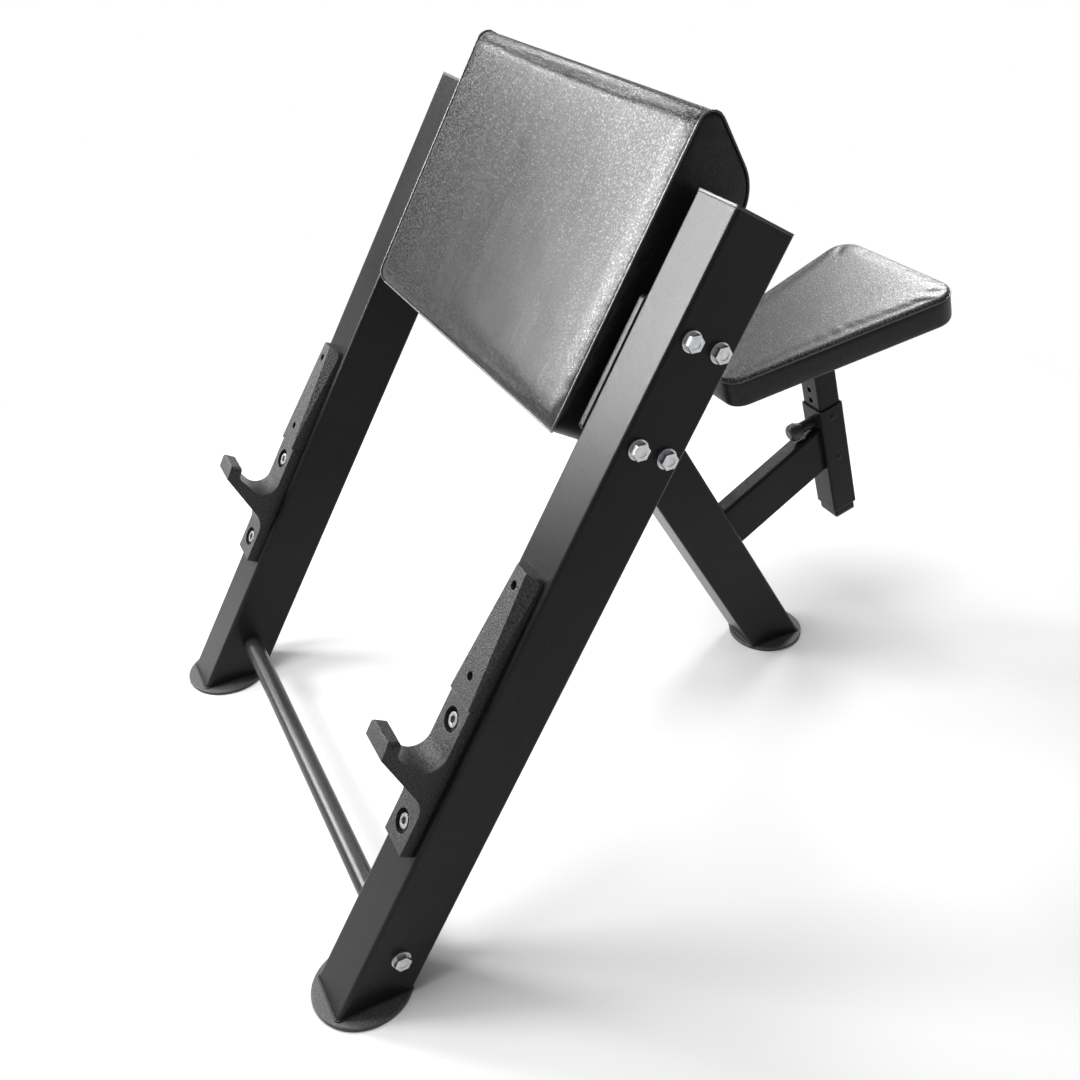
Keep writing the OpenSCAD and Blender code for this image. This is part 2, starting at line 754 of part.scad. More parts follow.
module arm_pad() color(vinyl) {
  slope() difference() {
    skin([for (r = pad_all) pad_ring(r[0], r[1], r[2])],
      [-pad_w / 2 + pad_draw + 0.6, pad_eye[0], pad_eye[1]],
      [pad_w / 2 - pad_draw - 0.6, pad_eye[0], pad_eye[1]]);
    translate([-pad_w / 2 + board_in, board_front, board_s])
      cube([pad_w - 2 * board_in, board_t + 0.2, board_len]);
  }
}

module pad_board() color(wood) {
  slope() difference() {
    translate([-pad_w / 2 + board_in, board_front, board_s])
      cube([pad_w - 2 * board_in, board_t, board_len]);
    for (p = pad_bolts_at) translate([p[0], pad_back + 1, p[1]])
      rotate([90, 0, 0]) cylinder(d = pad_bolt_d + bolt_gap, h = pad_bolt_grip + 2);
  }
}

module pad_bolts() color(zinc) {
  slope() for (p = pad_bolts_at) translate([p[0], upright_d, p[1]])
    rotate([-90, 0, 0]) hex_bolt(pad_bolt_d, beam_d + pad_bolt_grip, small_af, small_head);
}

// Rear leg, seat arm and sleeve

module rear_leg() color(steel) {
  len = leg_run + leg_d + 2 * run_past;
  above_feet() intersection() {
    leg_place() translate([0, leg_d / 2, -run_past]) tube(leg_w, leg_d, frame_wall, frame_r, len);
    slope() translate([-far, upright_d, -far]) cube([2 * far, far, 2 * far]);
  }
}

module seat_arm() color(steel) {
  difference() {
    leg_place() translate([0, leg_d, arm_top - arm_d / 2]) rotate([-90, 0, 0])
      tube(arm_w, arm_d, frame_wall, min(frame_r, arm_w / 5), arm_len + arm_d);
    post_place() translate([-far, 0, -far]) cube([2 * far, far, 2 * far]);
  }
}

module set_hole(z) {
  post_place() translate([sleeve_w / 2, sleeve_d / 2, z]) rotate([0, 90, 0])
    translate([0, 0, -sleeve_wall - 1]) cylinder(d = set_d + bolt_gap, h = sleeve_wall + 3);
}
set_z = [sleeve_rise - set_drop, sleeve_rise - set_drop - set_pitch];

module seat_sleeve() color(steel) {
  difference() {
    post_place() translate([0, sleeve_d / 2, sleeve_rise - sleeve_len])
      tube(sleeve_w, sleeve_d, sleeve_wall, sleeve_r, sleeve_len);
    for (z = set_z) set_hole(z);
    pin_place() translate([0, 0, -sleeve_wall - 1])
      cylinder(d = pin_d + 2 * pin_gap, h = sleeve_wall + 2);
  }
}

module set_screw(z) {
  post_place() translate([sleeve_w / 2 - sleeve_wall, sleeve_d / 2, z]) rotate([0, 90, 0])
    difference() {
      cylinder(d = set_d, h = sleeve_wall + set_head);
      translate([0, 0, sleeve_wall + set_head - 2]) cylinder(d = set_d / 2, h = 3, $fn = 6);
    }
}
module set_screw_upper() color(zinc) set_screw(set_z[0]);
module set_screw_lower() color(zinc) set_screw(set_z[1]);

// Pull pin with its barrel, spring and knob

module pin_barrel() color(deep) {
  pin_place() difference() {
    cylinder(d = barrel_d, h = barrel_len);
    translate([0, 0, -1]) cylinder(d = barrel_bore, h = barrel_len - barrel_end + 1);
    cylinder(d = pin_d + 2 * pin_gap, h = barrel_len + 1);
  }
}

module pull_pin() color(zinc) {
  pin_place() {
    translate([0, 0, -pin_in + 1]) cylinder(d = pin_d, h = pin_in - 1 + knob_z + knob_grip);
    translate([0, 0, -pin_in]) cylinder(d1 = pin_d - 2, d2 = pin_d, h = 1);
    translate([0, 0, collar_z]) cylinder(d = collar_d, h = collar_t);
  }
}

module pin_knob() color(rubber) {
  pin_place() translate([0, 0, knob_z]) difference() {
    rotate_extrude($fn = 64) polygon(concat(
      [[0, 0], [knob_d * 0.34, 0]],
      arc([knob_d / 2 - knob_edge, knob_len * 0.42], knob_edge, -60, 0, 4),
      arc([knob_d / 2 - knob_dome, knob_len - knob_dome], knob_dome, 0, 80, 6),
      [[0, knob_len]]
    ));
    translate([0, 0, -1]) cylinder(d = pin_d, h = knob_grip + 1);
  }
}

// Each turn has 8 rings of 6 sides, and both ends are cut flat
function coil_ring(a) = let (
  lift = wire_d / 2 + (spring_len - wire_d) * a / (360 * spring_turns)
) [
  for (i = [0 : 5]) let (
    r = spring_r + wire_d / 2 * cos(60 * i),
    z = lift + wire_d / 2 * sin(60 * i)
  ) [r * cos(a), r * sin(a), z]
];

module pin_spring() color(zinc) {
  last = 360 * spring_turns;
  end_z = spring_len - wire_d / 2;
  pin_place() translate([0, 0, spring_z]) skin(
    [for (a = [0 : 45 : last]) coil_ring(a)],
    [spring_r, 0, wire_d / 2],
    [spring_r * cos(last), spring_r * sin(last), end_z]
  );
}

// Post and seat

module seat_post() color(steel) {
  difference() {
    post_place() translate([0, sleeve_d / 2, post_top - post_len + cap_t])
      tube(post_w, post_d, post_wall, post_r, post_len - cap_t);
    for (k = [-(notches - 1) / 2 : (notches - 1) / 2])
      post_place() translate([0, 0, pin_z + k * notch]) rotate([-90, 0, 0])
        cylinder(d = pin_d + 2 * pin_gap, h = sleeve_wall + post_gap + post_wall + 2);
  }
}

module post_plug() color(deep) {
  post_place() translate([0, sleeve_d / 2, post_top - post_len + cap_t]) mirror([0, 0, 1])
    plug(post_w, post_d, post_wall, post_r);
}

module seat_place() post_place() translate([0, sleeve_d / 2, seat_low]) children();

seat_screws_at = [
  for (x = [-1, 1], y = [-1, 1])
    [x * (plate_w / 2 - seat_screw_side), y * (plate_len / 2 - seat_screw_end)]
];

module seat_plate() color(steel) {
  seat_place() translate([0, 0, -plate_t]) difference() {
    linear_extrude(plate_t) rounded(plate_w, plate_len, plate_r);
    for (p = seat_screws_at) translate([p[0], p[1], -1])
      cylinder(d = seat_screw_d + 2 * bolt_gap, h = plate_t + 2);
  }
}

module seat_screws() color(zinc) {
  seat_place() for (p = seat_screws_at) translate([p[0], p[1], -plate_t]) mirror([0, 0, 1])
    hex_bolt(seat_screw_d, plate_t + seat_screw_grip, small_af, small_head);
}

// Plan of the seat, drawn in by e: narrow at the front, wide at the back
seat_slope = atan((seat_back - seat_front) / 2 / seat_len);
side_norm = [cos(seat_slope), -sin(seat_slope)];
side_reach = [seat_back / 2, seat_len / 2] * side_norm;
front_cy = -seat_len / 2 + seat_r1;
back_cy = seat_len / 2 - seat_r2;
front_cx = (side_reach - seat_r1 - front_cy * side_norm[1]) / side_norm[0];
back_cx = (side_reach - seat_r2 - back_cy * side_norm[1]) / side_norm[0];

function seat_outline(e) = concat(
  arc([front_cx, front_cy], seat_r1 - e, -90, -seat_slope, 6),
  arc([back_cx, back_cy], seat_r2 - e, -seat_slope, 90, 7),
  arc([-back_cx, back_cy], seat_r2 - e, 90, 180 + seat_slope, 7),
  arc([-front_cx, front_cy], seat_r1 - e, 180 + seat_slope, 270, 6)
);
function seat_ring(e, z, k = 1) = [
  for (p = seat_outline(e)) [k * p[0], k * p[1] + seat_shift, z]
];

// Each row: draw-in, height, scale about the middle
seat_rows = concat(
  [
    [seat_board_in, seat_board_t, 1], [seat_board_in, 0, 1], [7, 0, 1], [2, 2.2, 1],
    [seat_lip_in, seat_lip_z, 1], [0, 9, 1], [seat_draw * 0.8, seat_t * 0.33, 1], [seat_draw, seat_t * 0.5, 1],
    [seat_draw * 0.7, seat_t * 0.7, 1], [0.2, seat_t - 11, 1], [1.3, seat_t - 9.6, 1],
    [0, seat_t - 8, 1], [0.8, seat_t - 4.5, 1], [3.6, seat_t - 1.6, 1], [8, seat_t, 1]
  ],
  [for (k = [0.9 : -0.2 : 0.1]) [8, seat_t + seat_crown * (1 - k * k), k]]
);

module seat_cushion() color(vinyl) {
  seat_place() skin(
    [for (r = seat_rows) seat_ring(r[0], r[1], r[2])],
    [0, seat_shift, seat_board_t], [0, seat_shift, seat_t + seat_crown]
  );
}

module seat_board() color(wood) {
  seat_place() difference() {
    linear_extrude(seat_board_t)
      polygon([for (p = seat_outline(seat_board_in)) [p[0], p[1] + seat_shift]]);
    for (p = seat_screws_at) translate([p[0], p[1], -1])
      cylinder(d = seat_screw_d + bolt_gap, h = seat_screw_grip + 1.5);
  }
}

upright_left();
upright_right();
cap_left();
cap_right();
foot_plate_left();
foot_plate_right();
foot_plate_rear();
sole_left();
sole_right();
sole_rear();
crossbeam();
flange_left();
flange_right();
beam_bolts_left();
beam_bolts_right();
beam_washers_left();
beam_washers_right();
beam_nuts_left();
beam_nuts_right();
foot_rod();
rod_bolt_left();
rod_bolt_right();
rod_washer_left();
rod_washer_right();
hook_left();
hook_right();
hook_bolts_left();
hook_bolts_right();
guard_left();
guard_right();
guard_screws_left();
guard_screws_right();
arm_pad();
pad_board();
pad_bolts();
rear_leg();
seat_arm();
seat_sleeve();
set_screw_upper();
set_screw_lower();
pin_barrel();
pull_pin();
pin_knob();
pin_spring();
seat_post();
post_plug();
seat_plate();
seat_screws();
seat_board();
seat_cushion();
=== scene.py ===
# Preacher bench: finishes, upholstery, welds, return spring, floor and light around the
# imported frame.
# Lengths in the settings are in millimetres where they end in Mm, and in metres otherwise.
import json
import math

import bmesh
import bpy
from mathutils import Matrix, Quaternion, Vector, kdtree, noise


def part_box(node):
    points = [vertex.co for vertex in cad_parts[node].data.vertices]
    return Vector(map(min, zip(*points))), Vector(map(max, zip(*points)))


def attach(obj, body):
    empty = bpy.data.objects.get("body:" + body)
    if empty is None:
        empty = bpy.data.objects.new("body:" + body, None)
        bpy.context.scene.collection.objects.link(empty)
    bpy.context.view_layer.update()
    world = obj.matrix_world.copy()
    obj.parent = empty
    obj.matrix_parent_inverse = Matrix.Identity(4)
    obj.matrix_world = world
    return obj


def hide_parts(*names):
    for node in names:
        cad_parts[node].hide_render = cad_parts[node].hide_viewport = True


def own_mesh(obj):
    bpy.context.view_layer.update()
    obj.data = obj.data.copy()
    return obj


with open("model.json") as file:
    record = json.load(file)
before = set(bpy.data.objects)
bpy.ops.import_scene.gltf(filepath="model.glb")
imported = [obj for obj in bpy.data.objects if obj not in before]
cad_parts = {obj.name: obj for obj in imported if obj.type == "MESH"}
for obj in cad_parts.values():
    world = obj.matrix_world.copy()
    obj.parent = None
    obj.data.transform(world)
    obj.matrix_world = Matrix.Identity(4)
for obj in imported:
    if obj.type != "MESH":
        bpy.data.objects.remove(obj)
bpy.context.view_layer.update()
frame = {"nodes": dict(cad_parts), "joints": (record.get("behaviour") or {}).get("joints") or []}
scene = bpy.context.scene
scene.view_settings.view_transform = "Standard"
print("frame loaded:", len(frame["nodes"]), "nodes")

# Camera

cameraSettings = {
    "place": (1.3016, -0.67288, 1.2379),
    "right": (0.48984, 0.87181, -0.00245),
    "down": (0.44544, -0.25269, -0.85891),
    "forward": (-0.74943, 0.41964, -0.51212),
    "lens": 38.82,
    "sensor": 36.0,
    "shiftX": -0.0756,
    "shiftY": -0.0376,
}


def makeCamera(settings):
    data = bpy.data.cameras.new("benchCamera")
    data.sensor_width = settings["sensor"]
    data.lens = settings["lens"]
    data.shift_x = settings["shiftX"]
    data.shift_y = settings["shiftY"]
    data.clip_start = 0.05
    data.clip_end = 60
    camera = bpy.data.objects.new("benchCamera", data)
    right = Vector(settings["right"])
    up = -Vector(settings["down"])
    back = -Vector(settings["forward"])
    turn = Matrix((right, up, back)).transposed().to_4x4()
    camera.matrix_world = Matrix.Translation(settings["place"]) @ turn
    scene.collection.objects.link(camera)
    scene.camera = camera


makeCamera(cameraSettings)
print("camera placed")

# Node helpers


def addNode(tree, kind, inputs=None, **settings):
    made = tree.nodes.new(kind)
    for name, value in settings.items():
        setattr(made, name, value)
    for name, value in (inputs or {}).items():
        socket = made.inputs[name]
        if isinstance(value, bpy.types.NodeSocket):
            tree.links.new(value, socket)
        else:
            socket.default_value = value
    return made


def mathNode(tree, operation, first, second=0.0, clamp=False):
    made = addNode(tree, "ShaderNodeMath", {0: first, 1: second}, operation=operation)
    made.use_clamp = clamp
    return made.outputs[0]


def mixColor(tree, factor, first, second):
    made = addNode(tree, "ShaderNodeMix", data_type="RGBA")
    for index, value in ((0, factor), (6, first), (7, second)):
        if isinstance(value, bpy.types.NodeSocket):
            tree.links.new(value, made.inputs[index])
        elif index == 0:
            made.inputs[index].default_value = value
        else:
            made.inputs[index].default_value = (*value, 1)
    return made.outputs[2]


def mapRange(tree, value, low, high, toLow=0.0, toHigh=1.0):
    return addNode(
        tree,
        "ShaderNodeMapRange",
        {0: value, 1: low, 2: high, 3: toLow, 4: toHigh},
    ).outputs[0]


def noiseTexture(tree, place, scale, detail, roughness=0.5, distortion=0.0):
    return addNode(
        tree,
        "ShaderNodeTexNoise",
        {
            "Vector": place, "Scale": scale, "Detail": detail, "Roughness": roughness,
            "Distortion": distortion,
        },
    ).outputs["Fac"]


def objectPlace(tree):
    return addNode(tree, "ShaderNodeTexCoord").outputs["Object"]


def grey(level, blue):
    # A nearly neutral colour: one level for its red and green, and one for its blue
    return level, level, blue


def startGroup(name, inputs, outputs):
    tree = bpy.data.node_groups.new(name, "ShaderNodeTree")
    for label, value in inputs.items():
        socket = tree.interface.new_socket(
            name=label, in_out="INPUT", socket_type="NodeSocketFloat"
        )
        socket.default_value = value
    for label, kind in outputs.items():
        tree.interface.new_socket(name=label, in_out="OUTPUT", socket_type=kind)
    source = tree.nodes.new("NodeGroupInput").outputs
    target = tree.nodes.new("NodeGroupOutput").inputs
    return tree, source, target


floatKind = "NodeSocketFloat"
vectorKind = "NodeSocketVector"


def makePebbleGroup():
    # Pebbled vinyl: rounded cells of uneven size with fine pits between them, matt specks
    # where the grain is worn less, and soft streaks along the cover
    tree, given, out = startGroup(
        "pebbleGrain",
        {"Cells": 900.0, "Pits": 430.0, "Evenness": 0.25, "Streaks": 42.0},
        {"Height": floatKind, "Speckle": floatKind, "Streak": floatKind},
    )
    place = objectPlace(tree)
    cells = addNode(
        tree,
        "ShaderNodeTexVoronoi",
        {"Vector": place, "Scale": given["Cells"], "Smoothness": 0.4},
        feature="SMOOTH_F1",
    ).outputs["Distance"]
    pits = noiseTexture(tree, place, given["Pits"], detail=2.0, roughness=0.6)
    moved = addNode(
        tree, "ShaderNodeVectorMath", {0: place, 1: (3.1, 1.7, 2.3)}, operation="ADD"
    ).outputs[0]
    worn = noiseTexture(tree, moved, given["Pits"], detail=1.0)
    long = addNode(
        tree, "ShaderNodeMapping", {"Vector": place, "Scale": (1.0, 0.09, 0.09)}
    ).outputs[0]
    streak = noiseTexture(tree, long, given["Streaks"], detail=3.0, roughness=0.6)
    dome = mapRange(tree, cells, 0.75, 0.05)
    fine = mathNode(tree, "MULTIPLY", dome, given["Evenness"])
    tree.links.new(mathNode(tree, "ADD", fine, pits), out["Height"])
    tree.links.new(mapRange(tree, worn, 0.46, 0.66), out["Speckle"])
    tree.links.new(mapRange(tree, streak, 0.35, 0.65), out["Streak"])
    return tree


def makeCoatGroup():
    # Powder coat: orange peel, with a coarser speckle for the textured coats
    tree, given, out = startGroup(
        "powderCoat",
        {"Peel": 520.0, "Speckles": 900.0},
        {"Height": floatKind, "Speckle": floatKind, "Drift": floatKind},
    )
    place = objectPlace(tree)
    peel = noiseTexture(tree, place, given["Peel"], detail=2.0)
    grit = noiseTexture(tree, place, given["Speckles"], detail=3.0, roughness=0.65)
    cloud = noiseTexture(tree, place, scale=7.0, detail=3.0)
    tree.links.new(peel, out["Height"])
    tree.links.new(mapRange(tree, grit, 0.36, 0.66), out["Speckle"])
    tree.links.new(mapRange(tree, cloud, 0.3, 0.7), out["Drift"])
    return tree


def makeEdgeGroup():
    # Edges: a rounded normal, and a mask for a painted highlight along each edge, patchy along
    # its length
    tree, given, out = startGroup(
        "paintedEdgeHighlight",
        {"Radius": 0.0015, "Gain": 2.0},
        {"Mask": floatKind, "Normal": vectorKind},
    )
    bevel = addNode(tree, "ShaderNodeBevel", {"Radius": given["Radius"]}, samples=6)
    geometry = addNode(tree, "ShaderNodeNewGeometry")
    same = addNode(
        tree,
        "ShaderNodeVectorMath",
        {0: bevel.outputs[0], 1: geometry.outputs["True Normal"]},
        operation="DOT_PRODUCT",
    ).outputs["Value"]
    bend = mathNode(tree, "SUBTRACT", 1.0, same)
    place = objectPlace(tree)
    highlightPatches = noiseTexture(tree, place, scale=60.0, detail=3.0)
    uneven = mapRange(tree, highlightPatches, 0.35, 0.65, 0.55, 1.0)
    gained = mathNode(tree, "MULTIPLY", bend, given["Gain"])
    tree.links.new(mathNode(tree, "MULTIPLY", gained, uneven, clamp=True), out["Mask"])
    tree.links.new(bevel.outputs[0], out["Normal"])
    return tree


def makeBrushGroup():
    # Plated and turned steel: fine scratches with soft stains
    tree, given, out = startGroup(
        "platedSteel",
        {"Scratches": 900.0},
        {"Height": floatKind, "Stain": floatKind},
    )
    place = objectPlace(tree)
    scratch = noiseTexture(tree, place, given["Scratches"], detail=4.0, distortion=1.2)
    stain = noiseTexture(tree, place, scale=160.0, detail=4.0)
    tree.links.new(scratch, out["Height"])
    tree.links.new(mapRange(tree, stain, 0.35, 0.65), out["Stain"])
    return tree


groups = {
    "pebble": makePebbleGroup(),
    "coat": makeCoatGroup(),
    "edge": makeEdgeGroup(),
    "brush": makeBrushGroup(),
}


def useGroup(tree, name, inputs=None):
    made = addNode(tree, "ShaderNodeGroup", node_tree=groups[name])
    for label, value in (inputs or {}).items():
        made.inputs[label].default_value = value
    return made.outputs


def startMaterial(name, constants):
    material = bpy.data.materials.new(name)
    material.use_nodes = True
    tree = material.node_tree
    shader = tree.nodes["Principled BSDF"]
    for label, value in constants.items():
        shader.inputs[label].default_value = value
    return material, tree, shader


def setSurface(tree, shader, base, roughness):
    tree.links.new(base, shader.inputs["Base Color"])
    tree.links.new(roughness, shader.inputs["Roughness"])


def setBump(tree, shader, height, strength, distance, normal=None):
    bump = addNode(
        tree,
        "ShaderNodeBump",
        {"Height": height, "Strength": strength, "Distance": distance},
    )
    if normal is not None:
        tree.links.new(normal, bump.inputs["Normal"])
    tree.links.new(bump.outputs[0], shader.inputs["Normal"])


# In each coat, the pale edge colour and its amount paint a highlight along the edges
coatFinishes = {
    "framePaint": {
        "dark": grey(0.008, 0.0084), "light": grey(0.013, 0.0136),
        "speck": grey(0.020, 0.021), "speckAmount": 0.25, "edgeHighlight": grey(0.30, 0.31),
        "edgeHighlightAmount": 0.9, "smooth": 0.24, "coarse": 0.28, "peel": 420.0, "specks": 1100.0,
        "bump": 0.10, "depth": 0.0004, "radius": 0.0022, "specular": 0.13,
    },
    "footPaint": {
        "dark": grey(0.018, 0.0185), "light": grey(0.032, 0.033),
        "speck": grey(0.10, 0.103), "speckAmount": 0.8, "edgeHighlight": grey(0.30, 0.31),
        "edgeHighlightAmount": 0.5, "smooth": 0.42, "coarse": 0.56, "peel": 600.0, "specks": 480.0,
        "bump": 0.4, "depth": 0.0006, "radius": 0.0012, "specular": 0.3,
    },
    "castPaint": {
        "dark": grey(0.008, 0.0085), "light": grey(0.016, 0.0165),
        "speck": grey(0.06, 0.062), "speckAmount": 0.9, "edgeHighlight": grey(0.30, 0.31),
        "edgeHighlightAmount": 0.7, "smooth": 0.26, "coarse": 0.42, "peel": 480.0, "specks": 420.0,
        "bump": 0.5, "depth": 0.0010, "radius": 0.0016, "specular": 0.18,
    },
    "rodPaint": {
        "dark": grey(0.010, 0.0105), "light": grey(0.018, 0.019),
        "speck": grey(0.05, 0.052), "speckAmount": 0.3, "edgeHighlight": grey(0.2, 0.21),
        "edgeHighlightAmount": 0.5, "smooth": 0.24, "coarse": 0.32, "peel": 500.0, "specks": 900.0,
        "bump": 0.12, "depth": 0.0004, "radius": 0.0010, "specular": 0.24,
    },
    "blackPlastic": {
        "dark": grey(0.020, 0.021), "light": grey(0.028, 0.029),
        "speck": grey(0.035, 0.036), "speckAmount": 0.3, "edgeHighlight": grey(0.10, 0.105),
        "edgeHighlightAmount": 0.5, "smooth": 0.34, "coarse": 0.46, "peel": 1300.0, "specks": 1500.0,
        "bump": 0.14, "depth": 0.0003, "radius": 0.0015, "specular": 0.5,
    },
    "soleRubber": {
        "dark": grey(0.010, 0.010), "light": grey(0.016, 0.016),
        "speck": grey(0.022, 0.022), "speckAmount": 0.3, "edgeHighlight": grey(0.03, 0.03),
        "edgeHighlightAmount": 0.3, "smooth": 0.7, "coarse": 0.85, "peel": 900.0, "specks": 900.0,
        "bump": 0.3, "depth": 0.0005, "radius": 0.0008, "specular": 0.3,
    },
    "blackSteel": {
        "dark": grey(0.010, 0.0105), "light": grey(0.016, 0.017),
        "speck": grey(0.03, 0.03), "speckAmount": 0.3, "edgeHighlight": grey(0.25, 0.26),
        "edgeHighlightAmount": 0.6, "smooth": 0.3, "coarse": 0.4, "peel": 900.0, "specks": 1200.0,
        "bump": 0.12, "depth": 0.0003, "radius": 0.0010, "specular": 0.25,
    },
    "weldPaint": {
        "dark": grey(0.008, 0.0084), "light": grey(0.014, 0.0145),
        "speck": grey(0.03, 0.031), "speckAmount": 0.4, "edgeHighlight": grey(0.16, 0.165),
        "edgeHighlightAmount": 0.3, "smooth": 0.34, "coarse": 0.45, "peel": 500.0, "specks": 900.0,
        "bump": 0.2, "depth": 0.0005, "radius": 0.0006, "specular": 0.2,
    },
}


def makeCoat(name, finish):
    material, tree, shader = startMaterial(name, {"Specular IOR Level": finish["specular"]})
    coat = useGroup(tree, "coat", {"Peel": finish["peel"], "Speckles": finish["specks"]})
    edge = useGroup(tree, "edge", {"Radius": finish["radius"]})
    base = mixColor(tree, coat["Drift"], finish["dark"], finish["light"])
    speckled = mathNode(tree, "MULTIPLY", coat["Speckle"], finish["speckAmount"])
    base = mixColor(tree, speckled, base, finish["speck"])
    # Painted highlight: the pale edge colour laid along the edges by the edge mask
    paintedLightMix = mathNode(tree, "MULTIPLY", edge["Mask"], finish["edgeHighlightAmount"])
    base = mixColor(tree, paintedLightMix, base, finish["edgeHighlight"])
    gloss = mapRange(tree, coat["Speckle"], 0.0, 1.0, finish["smooth"], finish["coarse"])
    setSurface(tree, shader, base, gloss)
    height = mathNode(tree, "ADD", coat["Height"], coat["Speckle"])
    setBump(tree, shader, height, finish["bump"], finish["depth"], edge["Normal"])
    return material


steelFinishes = {
    "zincPlate": {
        "light": (0.62, 0.63, 0.64), "dark": (0.50, 0.51, 0.53),
        "smooth": 0.30, "coarse": 0.36, "bump": 0.012, "depth": 0.0002, "radius": 0.0006,
    },
    "dullZinc": {
        "light": grey(0.46, 0.47), "dark": grey(0.26, 0.27),
        "smooth": 0.34, "coarse": 0.46, "bump": 0.03, "depth": 0.0002, "radius": 0.0008,
    },
    "brightSteel": {
        "light": grey(0.80, 0.81), "dark": grey(0.62, 0.64),
        "smooth": 0.10, "coarse": 0.22, "bump": 0.06, "depth": 0.0002, "radius": 0.0004,
    },
}


def makeSteel(name, finish):
    material, tree, shader = startMaterial(name, {"Metallic": 1.0})
    brush = useGroup(tree, "brush")
    edge = useGroup(tree, "edge", {"Radius": finish["radius"]})
    base = mixColor(tree, brush["Stain"], finish["light"], finish["dark"])
    gloss = mapRange(tree, brush["Stain"], 0.0, 1.0, finish["smooth"], finish["coarse"])
    setSurface(tree, shader, base, gloss)
    setBump(tree, shader, brush["Height"], finish["bump"], finish["depth"], edge["Normal"])
    return material


vinylFinishes = {
    "padVinyl": {
        "dark": grey(0.003, 0.0031), "light": grey(0.105, 0.108),
        "smooth": 0.21, "coarse": 0.32, "streak": 0.035, "cells": 900.0, "pits": 400.0,
        # Painted shade: the two heights and the share at the end make the pale specks fade
        # towards the bottom of the pad
        "bump": 0.28, "depth": 0.0006, "specular": 0.142, "shadeHeights": (0.64, 0.92),
        "bottomLightShare": 0.3,
    },
    "seatVinyl": {
        "dark": grey(0.003, 0.0031), "light": grey(0.10, 0.103),
        "smooth": 0.29, "coarse": 0.44, "streak": 0.03, "cells": 760.0, "pits": 380.0,
        "bump": 0.5, "depth": 0.0006, "specular": 0.42,
    },
    # Painted shade: a darker, less speckled copy of the cover vinyl for the cushions' sides
    "shadedSideVinyl": {
        "dark": grey(0.005, 0.0052), "light": grey(0.014, 0.0145),
        "smooth": 0.34, "coarse": 0.42, "streak": 0.0, "cells": 900.0, "pits": 500.0,
        "bump": 0.25, "depth": 0.0005, "specular": 0.25,
    },
    # Painted highlight: the piping is paler than the cover vinyl so that it shows as a light
    # line along the seams; its extra gloss is real
    "highlitPipingVinyl": {
        "dark": grey(0.045, 0.046), "light": grey(0.075, 0.077),
        "smooth": 0.26, "coarse": 0.36, "streak": 0.0, "cells": 900.0, "pits": 430.0,
        "bump": 0.2, "depth": 0.0004, "specular": 0.5,
    },
}


def makeVinyl(name, finish):
    material, tree, shader = startMaterial(name, {"Specular IOR Level": finish["specular"]})
    grain = useGroup(tree, "pebble", {"Cells": finish["cells"], "Pits": finish["pits"]})
    light = finish["light"]
    if "shadeHeights" in finish:
        # Painted shade: the pale specks fade out towards the bottom of the pad, so it is darker
        # low and paler high
        place = objectPlace(tree)
        height = addNode(tree, "ShaderNodeSeparateXYZ", {0: place}).outputs["Z"]
        paintedLightMix = mapRange(tree, height, *finish["shadeHeights"], finish["bottomLightShare"], 1.0)
        light = mixColor(tree, paintedLightMix, finish["dark"], light)
    base = mixColor(tree, grain["Speckle"], finish["dark"], light)
    gloss = mapRange(tree, grain["Speckle"], 0.0, 1.0, finish["coarse"], finish["smooth"])
    worn = mathNode(tree, "MULTIPLY", grain["Streak"], finish["streak"])
    setSurface(tree, shader, base, mathNode(tree, "SUBTRACT", gloss, worn))
    setBump(tree, shader, grain["Height"], finish["bump"], finish["depth"])
    return material


plywoodFinish = {
    "pale": (0.60, 0.44, 0.27), "ring": (0.46, 0.31, 0.17), "pore": (0.3, 0.19, 0.1),
    "grain": (14.0, 90.0, 90.0), "roughness": 0.6, "bump": 0.2, "depth": 0.0004,
}


def makePlywood(name, finish):
    # Birch face: long soft figure along the board, with fine pores
    material, tree, shader = startMaterial(name, {"Roughness": finish["roughness"]})
    place = objectPlace(tree)
    long = addNode(
        tree, "ShaderNodeMapping", {"Vector": place, "Scale": finish["grain"]}
    ).outputs[0]
    figure = noiseTexture(tree, long, scale=1.0, detail=5.0)
    pores = noiseTexture(tree, long, scale=9.0, detail=2.0)
    ringed = mapRange(tree, figure, 0.3, 0.7)
    base = mixColor(tree, ringed, finish["pale"], finish["ring"])
    pored = mapRange(tree, pores, 0.62, 0.72, 0.0, 0.4)
    base = mixColor(tree, pored, base, finish["pore"])
    tree.links.new(base, shader.inputs["Base Color"])
    setBump(tree, shader, figure, finish["bump"], finish["depth"])
    return material


materials = {name: makeCoat(name, finish) for name, finish in coatFinishes.items()}
materials.update({name: makeSteel(name, finish) for name, finish in steelFinishes.items()})
materials.update({name: makeVinyl(name, finish) for name, finish in vinylFinishes.items()})
materials["birchPly"] = makePlywood("birchPly", plywoodFinish)
print("materials made:", len(materials))

# Finishes of the frame's own nodes

